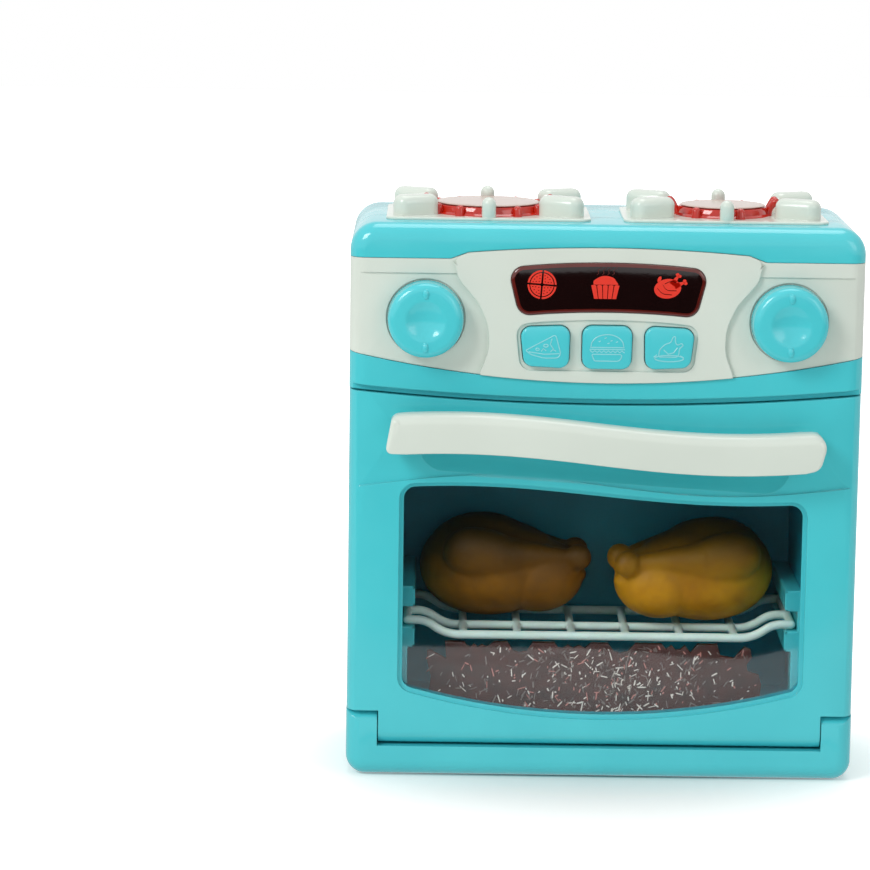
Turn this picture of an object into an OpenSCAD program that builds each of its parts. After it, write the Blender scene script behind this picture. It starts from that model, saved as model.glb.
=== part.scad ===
// Toy oven with a drop-down door, two knobs, three push buttons and a lit hob.
// The origin is at the centre of the base; the front faces -Y and X runs to the right.

/* [Body] */
// Width of the body
body_w = 210; // [200:1:236]
// Depth of the body without its handle
body_d = 90; // [86:1:110]
// Height of the top deck above the table
body_h = 230.6; // [226:0.2:250]
// Wall of the moulded shells
wall = 2.4; // [1.8:0.1:3]
// Depth of the front shell, up to its seam with the rear shell
front_d = 32; // [30:1:36]
// Radius of the two top corners, seen from the front
top_r = 11; // [7:0.5:14]
// Radius of the two bottom corners, seen from the front
base_r = 8; // [7:0.5:10]
// Radius of the edges round the front
edge_r = 7; // [3:0.5:7]
// Radius of the edges round the back
rear_r = 4.5; // [2:0.5:6]
// Open line between the front shell and the rear shell
seam_gap = 0.3; // [0.2:0.05:0.5]

/* [Head] */
// Height of the head, from its lower edge at the middle to the deck
head_h = 73.2; // [72:0.2:84]
// How much the head's lower edge rises towards its ends
head_rise = 5.2; // [2:0.2:8]
// Height of the shadow recess along the head's lower edge
reveal_h = 2.2; // [1:0.1:3]
// Depth of the shadow recess along the head's lower edge
reveal_d = 2.6; // [0.8:0.1:3]

/* [Control panel] */
// Height of the coloured lip above the panel, at the ends
lip_h = 14.2; // [13:0.2:18]
// Height of the panel's hump into the lip, at the middle
hump_rise = 5.2; // [3:0.2:6]
// Half width of the hump
hump_half = 64; // [60:1:68]
// Height of the coloured band under the panel, at the middle
band_h = 8.9; // [7:0.1:10]
// How much the panel's lower edge rises towards its ends
panel_rise = 11.7; // [9:0.1:13]
// Thickness of the panel
panel_t = 2.6; // [2.4:0.1:3.2]
// How far the middle platform stands proud of the panel
platform_proud = 1.2; // [0.6:0.1:1.6]
// Half width of the platform at its waist
waist_half = 48; // [46:0.5:50]
// Gap between the panel and the shell
panel_gap = 0.15; // [0.1:0.05:0.3]
// Height of the step line beside the platform, below the panel's top edge
ledge_drop = 6; // [4:0.5:7]
// Depth of that step
ledge_d = 0.6; // [0.3:0.1:0.8]

/* [Display] */
// Width of the display at its upper corners
display_w = 82; // [70:1:84]
// Width of the display at its lower corners
display_low_w = 72; // [60:1:76]
// Height of the display
display_h = 20.2; // [16:0.2:21]
// Rise of the display's arched edges
display_rise = 2.4; // [0:0.1:3]
// Distance from the deck down to the middle of the display
display_drop = 25; // [24.6:0.1:27]
// Corner radius of the display
display_r = 5.5; // [3:0.5:7]
// How far the display lens stands proud of the platform
display_proud = 0.8; // [0.3:0.1:1.2]
// Distance between the display's pictograms
icon_pitch = 26; // [22:0.1:27]
// Height of a pictogram
icon_size = 11.8; // [9:0.1:13]

/* [Buttons] */
// Width of a push button
button_w = 20.4; // [17:0.1:22]
// Height of a push button
button_h = 17.6; // [14:0.1:18]
// Distance between neighbouring buttons
button_pitch = 25.4; // [24:0.1:26]
// Distance from the deck down to the middle of the buttons
button_drop = 49.4; // [49:0.1:50]
// How far a button stands proud of the platform
button_proud = 2.4; // [1.6:0.1:3]
// Travel of a button
button_travel = 1.2; // [0.8:0.1:1.5]
// Corner radius of a button
button_r = 4; // [2:0.5:5]
// Gap around a button
button_gap = 0.3; // [0.2:0.05:0.5]

/* [Knobs] */
// Diameter of a knob
knob_dia = 31.6; // [28:0.2:33]
// How far a knob stands out of the body's front plane
knob_reach = 10; // [7:0.5:13]
// Distance from the body's side in to a knob's axis
knob_inset = 31; // [29:0.2:32]
// Distance from the deck down to a knob's axis
knob_drop = 38.6; // [38:0.2:40]
// Diameter of a knob's shaft
shaft_dia = 6; // [5:0.2:7]
// Radial running clearance of a shaft or pin in its bore
run_gap = 0.08; // [0.05:0.01:0.1]
// Diameter of the dish in a knob's face
dish_dia = 16; // [12:0.5:18]

/* [Door] */
// Thickness of the door
door_t = 13; // [12:0.2:14]
// Gap around the door
door_gap = 0.5; // [0.4:0.05:0.8]
// Height of the sill under the door
sill_h = 13; // [11:0.5:16]
// Width of a cheek at the side of the door's tongue
cheek_w = 13; // [11:0.5:16]
// Diameter of a hinge pin
pin_dia = 5; // [4:0.2:6]
// Length of a hinge pin
pin_len = 6; // [4:0.5:8]
// Width of a door stile beside the window
stile_w = 23; // [22:0.5:28]
// Distance from the door's top edge down to the window, at the middle
top_rail = 38; // [37:0.5:44]
// Height of the window's lower edge above the table, at the middle
window_low = 27; // [26:0.2:32]
// How much the window's lower edge rises towards its ends
window_rise = 11.4; // [4:0.2:14]
// Corner radius of the window
window_r = 5; // [3:0.5:8]
// Width of the step around the window
window_step = 1.8; // [1:0.1:3]
// Thickness of the window pane
pane_t = 2; // [1.4:0.1:2.4]

/* [Handle] */
// Half length of the handle
handle_half = 89; // [80:1:94]
// Height of the handle bar, seen from the front
handle_h = 16.4; // [14:0.2:19]
// How far the handle stands out of the body's front plane
handle_reach = 16; // [14:0.5:18]
// Thickness of the handle bar
handle_t = 7.5; // [6:0.5:9]
// Distance from the door's top edge down to the handle's top edge, at the middle
handle_drop = 6.2; // [4.5:0.1:7]
// Rise of the handle's wave on the left
wave_up = 4.4; // [0:0.1:5]
// Dip of the handle's wave on the right
wave_down = 3.3; // [0:0.1:4]

/* [Cavity] */
// Wall of the cavity liner
liner_wall = 1.8; // [1.4:0.1:2.2]
// Distance from the body's side to the cavity's side wall
cavity_side = 21; // [20:0.5:23]
// Height of the cavity's floor above the table
cavity_low = 22; // [20:0.5:23]
// Distance from the head's lower edge down to the cavity's ceiling
cavity_drop = 18; // [16:1:24]
// Distance between the cavity's rear wall and the body's rear face
cavity_back = 7; // [6:0.5:12]
// How far a rail stands into the cavity
rail_w = 7; // [5:0.5:8]
// Height of a rail block
rail_h = 8.8; // [6:0.2:10]
// Thickness of a rail bracket's plate
rail_plate = 1.6; // [1.2:0.1:2]

/* [Rack] */
// Height of the rack's wires above the table
rack_z = 56.5; // [54:0.5:62]
// Diameter of the rack's wires
wire_dia = 3.6; // [3:0.1:4]
// How much the rack's ends rise into their rails
rack_rise = 6; // [4:0.5:8]
// Depth of the rack's front wire behind the body's front plane
rack_front = 20; // [18:0.5:24]
// Distance from the front long wire to the middle one
wire_near = 19.5; // [15:0.5:26]
// Distance from the middle long wire to the rear one
wire_far = 33; // [26:0.5:34]
// Number of cross wires
cross_n = 6; // [4:1:7]
// Distance from a bend of the long wires to the next cross wire
cross_inset = 7; // [3:0.5:12]

/* [Food] */
// Gap between a chicken's end and the rail beside it
chicken_gap = 1.3; // [0.5:0.1:8]
// Height of a play roast chicken
chicken_h = 44.4; // [38:0.2:46]
// Distance from the rack's front wire to the middle of the right chicken
chicken_in = 25; // [22:0.5:28]
// How far the left chicken lies behind the right one
chicken_back = 7; // [0:0.5:8]

/* [Coal insert] */
// Gap between the coal insert and the rails at its sides
coal_gap = 5; // [2:0.5:10]
// Height of the coal insert above the cavity's floor
coal_h = 31.2; // [24:0.2:31.6]
// Thickness of the coal insert
coal_t = 2.5; // [2:0.1:3]
// Depth of the coal insert's face behind the body's front plane
coal_front = 21; // [20:0.5:26]

/* [Hob] */
// Width of a hob plate
hob_w = 84; // [80:1:88]
// Depth of a hob plate
hob_d = 56; // [52:1:60]
// Gap between the two hob plates
hob_gap = 13.5; // [8:0.5:16]
// Thickness of a hob plate
hob_t = 1.3; // [1:0.1:2.4]
// How far the hob's centre lies in front of the body's middle
hob_forward = 3; // [0:0.5:4]
// Height of a pan support above the deck
lug_h = 9.4; // [6:0.2:10]
// Radius of the left burner's cap
cap_left_r = 21.4; // [19:0.1:21.6]
// Radius of the right burner's cap
cap_right_r = 17.6; // [15:0.1:19]
// Height of a burner cap's underside above the deck
cap_lift = 6.4; // [5:0.1:7]
// Thickness of a burner cap
cap_t = 0.9; // [0.8:0.1:1.8]

/* [Batteries] */
// Diameter of a cell
cell_dia = 14.2; // [14:0.1:14.5]
// Length of a cell
cell_len = 49.5; // [49:0.1:50.5]
// Distance between neighbouring cells
cell_pitch = 15.2; // [15:0.1:16]
// Wall of the battery box
box_wall = 1.6; // [1.2:0.1:2]

/* [Hidden] */
$fn = 48;
large_fn = 96;

cyan = "#4fcdd6";
cream = "#e3e9e2";
ember = "#c8281a";
ochre = "#a07818";

// Side view: everything is placed by its depth behind the body's front plane.
y_front = (handle_reach - body_d) / 2;
half_w = body_w / 2;
head_z = body_h - head_h;
panel_low = head_z + band_h;
panel_top = body_h - lip_h;
seat_in = panel_t + panel_gap;
seat_d = seat_in + wall;
ledge_z = panel_top - ledge_drop;
knob_x = half_w - knob_inset;
knob_z = body_h - knob_drop;
knob_r = knob_dia / 2;
shaft_r = shaft_dia / 2;
well_r = knob_r + 0.35;
well_d = 1.2;
knob_boss_r = shaft_r + 2.2;
knob_boss_d = 8;
mark_half_w = 1.25;
mark_half_h = 2.1;
display_z = body_h - display_drop;
button_z = body_h - button_drop;
recess_d = 0.7;

// Electronics behind the panel.
board_d = 14;
board_t = 1.6;
board_half = 48;
board_low = button_z - 8;
board_top = display_z + 7;
board_post_x = 44.5;
board_post_z = [button_z - 3.6, button_z + 11.9];
board_post_r = 2.4;
led_r = 2.5;
window_half_x = board_half + 0.6;
flange_t = 1.2;
button_back = 6;
keypad_front = button_back + flange_t + button_travel + 0.3;
screw_r = 1.3;
screw_head_r = 2.6;
screw_head_t = 1.8;
screw_gap = 0.08;
panel_boss_r = 2.4;
panel_screw_out = 17.5;
panel_screw_rise = 13.2;

// Door and hinge.
pivot_d = door_t / 2;
pivot_z = sill_h + door_gap + door_t / 2;
cheek_gap = 0.4;
cheek_r = door_t / 2 + 0.9;
cheek_top = pivot_z + cheek_r;
ring_d = door_t + cheek_gap;
door_half = half_w - 0.3;
tongue_half = half_w - cheek_w - cheek_gap;
door_low = cheek_top + door_gap;
door_split = door_t - 3;
plate_t = 3;
window_half = half_w - stile_w;
window_top = head_z - door_gap - top_rail;
pane_d = plate_t + 0.2;
pane_lap = 4;
pin_r = pin_dia / 2;
rib_t = 1.8;

door_post_in = 9;
door_post_low = 18;
door_post_drop = 35;
door_post_z = [door_low + door_post_low, window_top - door_post_drop, window_top];

// Handle.
handle_z = head_z - door_gap - handle_drop;
handle_screw_x = handle_half - 6;
wave_left = 62;
wave_right = 51;
foot_len = 11;
foot_drop = 1.8;
scoop_r = 16;
scoop_in = 4;
scoop_half = handle_half - foot_len - 12.5;
scoop_z = handle_z - handle_h + 1.3;
scoop_tilt = 3.4;

// Cavity.
cavity_half = half_w - cavity_side;
cavity_top = head_z - cavity_drop;
liner_front = ring_d + wall + 0.1;
liner_back = body_d - cavity_back;
liner_lip = 4;
liner_rib_x = 50;
liner_rib_end = 20;
wire_r = wire_dia / 2;
rack_end_z = rack_z + rack_rise;
slot_low = rack_end_z - wire_r - 0.3;
slot_top = slot_low + rail_h - 0.4;
rail_x = cavity_half - rail_w;
rack_half = cavity_half - rail_plate - wire_r - 0.5;
rack_bend_out = rail_x - 4.2;
rack_bend_in = rack_bend_out - 9;
cross_pitch = 2 * (rack_bend_in - cross_inset) / (cross_n - 1);
coal_half = rail_x - coal_gap;
chicken_mid = 0.7;
chicken_len = rail_x - chicken_mid - chicken_gap;
lamp_half = 40;
lamp_h = 12;
lamp_in = 14;
lamp_pitch = 26;
rail_peg_r = 2;
food_z = rack_z + wire_r + 0.3;

// Hob.
hob_x = (hob_w + hob_gap) / 2;
hob_depth = body_d / 2 - hob_forward;
hob_top = body_h + hob_t;
cap_low = body_h + cap_lift;
lamp_hole_r = 9;
lug_turn = 28;
lug_w = 8.4;
lug_out = hob_w / 2 + 1.5;
stub_r = 2.9;
ring_out = 3.4;
post_r = 1.8;
hook_r = 1.4;
hook_len = 4;
hook_lean = 42;

// Battery box and rear details.
cells_n = 3;
box_half = cell_len / 2 + 4;
box_drop = 38.6;
box_z = body_h - box_drop;
box_half_h = cell_pitch * (cells_n - 1) / 2 + cell_dia / 2 + 0.8;
box_out_d = body_d - wall;
box_in_d = box_out_d - cell_dia - 1.6;
hatch_half = box_half + 1;
hatch_half_h = box_half_h + 1;
hatch_gap = 0.3;
hatch_t = wall - 0.2;
speaker_in = 37;
speaker_drop = 40.6;
speaker_x = speaker_in - half_w;
speaker_z = body_h - speaker_drop;
speaker_r = 20;
switch_in = 41;
switch_drop = 30.6;
switch_x = half_w - switch_in;
switch_z = body_h - switch_drop;
pocket_d = 2.5;

// Case screws: [x, z] of the six places.
boss_x = half_w - wall - 8;
boss_low = 16;
boss_mid = 108;
boss_z = [boss_low, boss_mid, body_h - 13];
boss_r = 4.2;
case_screw_r = 1.5;
case_head_r = 3;
case_hole_r = 3.4;

// Unit vector, the points of a rounded corner, and an outline with rounded corners.
function unit(v) = v / norm(v);
function arc_steps(r) = max(3, ceil(r * 1.3));
function corner(a, b, c, r) = r < 0.05 ? [b] : let(
    u = unit(a - b), v = unit(c - b), half = acos(u * v) / 2,
    centre = b + unit(u + v) * r / sin(half),
    start = b + u * r / tan(half) - centre,
    finish = b + v * r / tan(half) - centre,
    from = atan2(start.y, start.x),
    turn = atan2(start.x * finish.y - start.y * finish.x, start * finish),
    n = arc_steps(r))
    [for (i = [0 : n]) centre + r * [cos(from + turn * i / n), sin(from + turn * i / n)]];
function xy(p) = [p.x, p.y];
function rounded(pts) = let(n = len(pts)) [for (i = [0 : n - 1])
    each corner(xy(pts[(i + n - 1) % n]), xy(pts[i]), xy(pts[(i + 1) % n]), pts[i].z)];
function box_pts(x0, z0, x1, z1, r_low, r_high) =
    [[x0, z0, r_low], [x1, z0, r_low], [x1, z1, r_high], [x0, z1, r_high]];

// Height of a shallow circular arc above its lowest point.
function arc_r(half, rise) = (half * half + rise * rise) / (2 * rise);
function arc_z(x, half, rise) = let(r = arc_r(half, rise)) r - sqrt(r * r - x * x);
function head_edge(x) = head_z + arc_z(x, half_w, head_rise);
function panel_edge(x) = panel_low + arc_z(x, half_w, panel_rise);

// The wave of the handle, its groove and the window: up on the left, down on the right.
function wave(x, up, down, left, right) =
    x < 0 ? -up * sin(90 * x / left) : -down * sin(90 * x / right);
function spread(from, to, n) = [for (i = [0 : n]) from + (to - from) * i / n];
function ellipse_pts(a, b, n) = [for (i = [0 : n - 1]) [a * cos(360 * i / n), b * sin(360 * i / n)]];

// Extrudes a front-view outline between two depths behind the front plane.
module slab(front, back) {
    translate([0, y_front + back, 0]) rotate([90, 0, 0]) linear_extrude(back - front) children();
}

// Extrudes a side-view outline, drawn as [depth, height], along X.
module side_bar(half) {
    translate([-half, y_front, 0]) rotate([90, 0, 90]) linear_extrude(2 * half) children();
}

// A cylinder along Y between two depths.
module peg(x, z, r, front, back, sides = $fn) {
    translate([x, y_front + back, z]) rotate([90, 0, 0]) cylinder(r = r, h = back - front, $fn = sides);
}

module mirrored() {
    children();
    mirror([1, 0, 0]) children();
}

// A screw along Y with its head behind, at a given depth.
module screw(x, z, r, head_r, seat, length, head_t = screw_head_t) {
    peg(x, z, r, seat - length, seat + head_t / 2);
    difference() {
        peg(x, z, head_r, seat, seat + head_t);
        for (turn = [0, 90])
            translate([x, y_front + seat + head_t, z]) rotate([0, turn, 0])
                cube([head_r * 1.2, head_t * 0.9, head_r * 0.3], center = true);
    }
}

// Section through a side wall of the whole body, drawn as [distance outwards, depth].
module rim_section(inset, out, thick) {
    polygon(rounded([[out - thick, inset, 0], [out, inset, max(edge_r - inset, 0.6)],
        [out, body_d - inset, max(rear_r - inset, 0.6)], [out - thick, body_d - inset, 0]]));
}

// A straight run of the rim along X, with its outside at a height.
module rim_run(inset, half, thick) {
    translate([-half, y_front, 0]) rotate([90, 0, 90]) linear_extrude(2 * half)
        rotate(90) mirror([0, 1]) rim_section(inset, 0, thick);
}

// A quarter turn of the rim about its own corner.
module rim_corner(inset, r, turn) {
    rotate([0, turn, 0]) rotate([-90, 0, 0]) rotate([0, 0, -90])
        rotate_extrude(angle = 90) rim_section(inset, r, r);
}

// The whole body, shrunk by an inset: a core with round edges and corners all the way round.
module body_block(inset) {
    low = max(base_r - inset, 0.6);
    high = max(top_r - inset, 0.6);
    x = half_w - inset;
    top = body_h - inset;
    side_mid = (inset + low + top - high) / 2;
    slab(inset, body_d - inset)
        translate([low - x, inset + low]) square([2 * (x - low), top - high - inset - low]);
    translate([0, 0, top]) rim_run(inset, x - high, high);
    translate([0, 0, inset]) mirror([0, 0, 1]) rim_run(inset, x - low, low);
    for (turn = [-90, 90])
        translate([sign(turn) * x, 0, side_mid]) rotate([0, turn, 0])
            rim_run(inset, (top - high - inset - low) / 2, low);
    for (side = [0, 1])
        mirror([side, 0, 0]) {
            translate([x - high, y_front, top - high]) rim_corner(inset, high, 0);
            translate([x - low, y_front, inset + low]) rim_corner(inset, low, 90);
        }
}

// Front view of everything above the head's curved lower edge.
module head_outline(lift) {
    xs = spread(-half_w, half_w, 24);
    polygon(concat([for (x = xs) [x, head_edge(x) + lift]], [[half_w, body_h], [-half_w, body_h]]));
}

// Points of the panel's top edge: flat ends and an arched hump between them.
function hump_pts(grow) = let(crown = hump_half - 7, shoulder = hump_rise * 0.52,
    rise = hump_rise - shoulder, xs = spread(-crown, crown, 16)) concat(
    [[-hump_half - grow, panel_top + grow, 2.5]],
    [for (x = xs) [x, panel_top + hump_rise + grow - arc_z(x, crown, rise), abs(x) > crown - 0.01 ? 4 : 0]],
    [[hump_half + grow, panel_top + grow, 2.5]]);

module panel_outline(grow) {
    xs = spread(half_w + 1, -half_w - 1, 24);
    polygon(rounded(concat([[-half_w - 1, panel_top + grow, 0]], hump_pts(grow),
        [[half_w + 1, panel_top + grow, 0]], [for (x = xs) [x, panel_edge(x) - grow, 0]])));
}

// The platform: it keeps the hump's top edge and draws in round each knob.
module platform_outline() {
    side = [[hump_half - 1.5, panel_top - 1.5], [hump_half - 3, panel_top - 8],
        [waist_half + 4.5, panel_top - 18], [waist_half + 0.4, panel_top - 27],
        [waist_half, panel_top - 37],
        [waist_half + 3.4, panel_top - 46], [waist_half + 3.6, panel_edge(waist_half) - 1]];
    rounding = [3, 9, 16, 20, 18, 3, 0];
    polygon(rounded(concat(hump_pts(0),
        [for (i = [0 : len(side) - 1]) [side[i].x, side[i].y, rounding[i]]],
        [for (x = spread(waist_half, -waist_half, 12)) [x, panel_edge(x), 0]],
        [for (i = [len(side) - 1 : -1 : 0]) [-side[i].x, side[i].y, rounding[i]]])));
}

module display_outline(grow) {
    top = display_z + display_h / 2;
    low = top - display_h;
    a = display_w / 2 + grow;
    b = display_low_w / 2 + grow;
    function arch(x) = arc_z(x, display_w / 2, display_rise + 0.01);
    polygon(rounded(concat(
        [[-a, top + grow - arch(a), display_r + grow]],
        [for (x = spread(-a * 0.7, a * 0.7, 10)) [x, top + grow - arch(x), 0]],
        [[a, top + grow - arch(a), display_r + grow], [b, low - grow - arch(b), display_r + grow]],
        [for (x = spread(b * 0.7, -b * 0.7, 8)) [x, low - grow - arch(x), 0]],
        [[-b, low - grow - arch(b), display_r + grow]])));
}

// Outline of a button about its own centre; the outer side of an end button leans in.
module button_outline(side, grow) {
    w = button_w / 2 + grow;
    h = button_h / 2 + grow;
    lean = side == 0 ? 0.4 : 1.8;
    drop = side == 0 ? 0 : 0.9;
    flip = side == 0 ? 1 : side;
    polygon(rounded([[flip * -w, h, button_r + grow], [flip * w, h - drop, button_r + grow],
        [flip * (w - lean), -h + drop, button_r + grow], [flip * (0.2 * lean - w), -h, button_r + grow]]));
}

module button_place(side) {
    translate([side * button_pitch, button_z]) children();
}

// Shallow arched recess in the platform around the three buttons.
module button_recess() {
    out = button_pitch + button_w / 2 + 1.8;
    top = button_z + button_h / 2 + 1.2;
    low = button_z - button_h / 2 - 1.2;
    polygon(rounded(concat([[-out, top - 1.2, 5]],
        [for (x = spread(-out * 0.7, out * 0.7, 8)) [x, top + 1 - arc_z(x, out, 2), 0]],
        [[out, top - 1.2, 5], [out - 2.2, low, 5], [2.2 - out, low, 5]])));
}

module front_shell() {
    color(cyan) difference() {
        union() {
            difference() {
                intersection() {
                    body_block(0);
                    union() {
                        slab(0, front_d) head_outline(0);
                        slab(ring_d, front_d) translate([-half_w, 0]) square([body_w, body_h - edge_r]);
                        base_block();
                    }
                }
                intersection() {
                    body_block(wall);
                    union() {
                        slab(wall, front_d + 1) head_outline(wall + reveal_h);
                        slab(ring_d + wall, front_d + 1) translate([-half_w, 0]) square([body_w, body_h]);
                        slab(wall, ring_d + wall + 1) translate([-half_w, 0]) square([body_w, sill_h - wall]);
                    }
                }
            }
            intersection() {
                slab(0, front_d) panel_outline(wall);
                difference() {
                    body_block(0);
                    body_block(seat_d);
                }
            }
            for (side = [-1, 1], z = [boss_z[0], boss_z[1]])
                peg(side * boss_x, z, boss_r, ring_d + wall / 2, front_d);
            for (side = [-1, 1])
                peg(side * boss_x, boss_z[2], boss_r, seat_d - 1, front_d);
        }
        difference() {
            slab(-1, front_d + 1) panel_outline(panel_gap);
            body_block(seat_in);
        }
        slab(-1, reveal_d) difference() {
            translate([-half_w - 1, head_z - 1]) square([body_w + 2, head_rise + reveal_h + 1]);
            head_outline(reveal_h);
        }
        slab(0, seat_d + 1) board_opening();
        mirrored() peg(knob_x, knob_z, knob_boss_r + 0.4, 0, seat_d + 1);
        mirrored() panel_screw_places() peg(0, 0, panel_boss_r + 0.3, 0, seat_d + 1);
        slab(ring_d - 1, front_d + 1) cavity_outline(0);
        mirrored() translate([tongue_half - 1, y_front + pivot_d, pivot_z]) rotate([0, 90, 0])
            cylinder(r = pin_r + run_gap, h = pin_len + 1.8);
        for (side = [-1, 1], z = boss_z)
            peg(side * boss_x, z, case_screw_r + screw_gap, front_d - 12, front_d + 1);
    }
}

// Sill and cheeks; a cheek's top is rounded about the hinge so the door swings past it.
module base_block() {
    slab(0, front_d) translate([-half_w, 0]) square([body_w, sill_h]);
    intersection() {
        slab(0, front_d) mirrored() translate([tongue_half + cheek_gap, 0]) square([cheek_w, cheek_top]);
        side_bar(half_w) union() {
            square([front_d, pivot_z]);
            translate([pivot_d, 0]) square([front_d, cheek_top]);
            translate([pivot_d, pivot_z]) circle(r = cheek_r, $fn = large_fn);
        }
    }
}

module board_opening() {
    translate([-window_half_x, button_z - button_h / 2 - 3])
        square([2 * window_half_x, display_z + display_h / 2 + 1.6 - button_z + button_h / 2 + 3]);
}

module cavity_outline(grow) {
    polygon(rounded(box_pts(-cavity_half - grow, cavity_low - grow, cavity_half + grow, cavity_top + grow,
        4 + grow, 4 + grow)));
}

module panel_screw_places() {
    for (side = [-1, 1])
        translate([knob_x + panel_screw_out, 0, knob_z + side * panel_screw_rise]) children();
}

module rear_shell() {
    color(cyan) difference() {
        union() {
            difference() {
                intersection() {
                    body_block(0);
                    slab(front_d + seam_gap, body_d) translate([-half_w, 0]) square([body_w, body_h]);
                }
                body_block(wall);
            }
            for (side = [-1, 1], z = boss_z)
                peg(side * boss_x, z, boss_r, front_d, body_d - wall / 2);
            // Ribs that hold the cavity liner from behind.
            for (x = [-liner_rib_x, 0, liner_rib_x])
                slab(liner_back, body_d - wall / 2) translate([x - 1, cavity_low + liner_rib_end])
                    square([2, cavity_top - cavity_low - 2 * liner_rib_end]);
            // Cup round the speaker and pad behind the switch.
            difference() {
                peg(speaker_x, speaker_z, speaker_r + 2, body_d - wall - 4, body_d - wall / 2);
                peg(speaker_x, speaker_z, speaker_r + 0.2, 0, body_d - wall);
            }
            slab(body_d - wall - pocket_d, body_d - wall / 2) translate([switch_x - 13, switch_z - 8])
                square([26, 16]);
            // Posts for the lamp boards under the hob.
            for (side = [-1, 1], dx = [-12, 12])
                translate([side * hob_x + dx, y_front + hob_depth, body_h - wall - 8])
                    cylinder(r = 2, h = 9);
        }
        for (side = [-1, 1], z = boss_z) {
            peg(side * boss_x, z, case_screw_r + 0.3, front_d - 1, body_d + 1);
            peg(side * boss_x, z, case_hole_r, front_d + 4, body_d + 1);
        }
        slab(body_d - wall - 1, body_d + 1) hatch_outline(0);
        for (i = [-2 : 2])
            slab(body_d - wall - 1, body_d + 1) translate([speaker_x - 13, speaker_z + i * 6 - 1.2])
                square([26, 2.4]);
        slab(body_d - pocket_d, body_d + 1) translate([switch_x - 9, switch_z - 5]) square([18, 10]);
        slab(body_d - wall - pocket_d - 1, body_d) translate([switch_x - 6, switch_z - 2.4])
            square([12, 4.8]);
        for (side = [-1, 1])
            translate([side * hob_x, y_front + hob_depth, body_h - wall - 1])
                cylinder(r = lamp_hole_r, h = wall + 2);
    }
}

// Rear opening for the cells, with straight sides.
module hatch_outline(inset) {
    translate([inset - hatch_half, box_z - hatch_half_h + inset])
        square([2 * (hatch_half - inset), 2 * (hatch_half_h - inset)]);
}

module cavity_liner() {
    color(cyan) {
        difference() {
            union() {
                slab(liner_front, liner_front + liner_wall) cavity_outline(liner_lip);
                slab(liner_front, liner_back) cavity_outline(liner_wall);
            }
            slab(liner_front - 1, liner_back - liner_wall) cavity_outline(0);
            mirrored() rail_peg_places() cylinder(r = rail_peg_r + 0.15, h = liner_wall + 2);
        }
    }
}

module rail_peg_places() {
    for (depth = [liner_front + 14, liner_back - 16])
        translate([cavity_half - 1, y_front + depth, (slot_low + slot_top) / 2]) rotate([0, 90, 0]) children();
}

// Bracket that carries one end of the rack: two blocks with a slot between them,
// pegged to the cavity's wall.
module rack_rail() {
    back = liner_back - liner_wall - 0.3;
    color("#35b6c2") {
        slab(liner_front, back) translate([cavity_half - rail_plate, slot_low - rail_h])
            square([rail_plate, slot_top - slot_low + 2 * rail_h]);
        for (z = [slot_low - rail_h, slot_top])
            slab(liner_front, back) translate([rail_x, z])
                polygon(rounded([[0, 0, 1.2], [rail_w, 0, 0], [rail_w, rail_h, 0], [0, rail_h, 1.2]]));
        slab(liner_front, liner_front + 9) translate([rail_x + 3, cavity_low + 4])
            square([rail_w - 3, slot_low - rail_h - cavity_low - 3]);
        rail_peg_places() cylinder(r = rail_peg_r, h = liner_wall + 1.5);
    }
}

module rack_rail_left() { mirror([1, 0, 0]) rack_rail(); }
module rack_rail_right() { rack_rail(); }

module control_panel() {
    color(cream) difference() {
        union() {
            difference() {
                intersection() {
                    body_block(0);
                    slab(0, front_d) panel_outline(0);
                }
                body_block(panel_t);
                // The face under the step line lies a little deeper.
                slab(-1, ledge_d) translate([-half_w, 0]) square([body_w, ledge_z]);
            }
            slab(-platform_proud, panel_t) intersection() {
                platform_outline();
                panel_outline(0);
            }
            mirrored() peg(knob_x, knob_z, knob_boss_r, well_d + 0.6, knob_boss_d);
            mirrored() panel_screw_places() peg(0, 0, panel_boss_r, panel_t - 0.6, seat_d + 0.1);
            for (side = [-1, 1], z = board_post_z)
                peg(side * board_post_x, z, board_post_r, panel_t - 1, board_d);
        }
        slab(-5, panel_t + 1) display_outline(panel_gap);
        slab(-5, recess_d - platform_proud) button_recess();
        for (side = [-1 : 1])
            slab(-5, panel_t + 1) button_place(side) button_outline(side, button_gap);
        mirrored() {
            peg(knob_x, knob_z, well_r, -5, well_d, large_fn);
            peg(knob_x, knob_z, shaft_r + run_gap, -5, knob_boss_d + 1);
            panel_screw_places() peg(0, 0, screw_r + screw_gap, ledge_d + 0.9, seat_d + 1);
        }
        for (side = [-1, 1], z = board_post_z)
            peg(side * board_post_x, z, screw_r + screw_gap, board_d - 8, board_d + 1);
    }
}

module display_lens() {
    color("#3a0d0a") difference() {
        union() {
            slab(-platform_proud - display_proud, panel_t) display_outline(0);
            slab(panel_t, panel_t + flange_t) display_outline(1.4);
        }
        slab(0.6, panel_t + flange_t + 1) display_outline(-2);
    }
}

// Three plain pictograms on the lens: a sliced round, a cup cake and a roast bird.
module display_icons() {
    color("#e02a14") slab(-platform_proud - display_proud - 0.3, -platform_proud - display_proud)
        translate([-0.9, display_z + 0.9]) {
            translate([-icon_pitch, 0]) sliced_round();
            translate([0, -1]) cup_cake();
            translate([icon_pitch, -0.6]) roast_bird();
        }
}

module sliced_round() {
    r = icon_size / 2;
    difference() {
        circle(r = r);
        for (turn = [0, 90])
            rotate(turn + 2) square([2 * r + 1, 0.7], center = true);
    }
}

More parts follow.
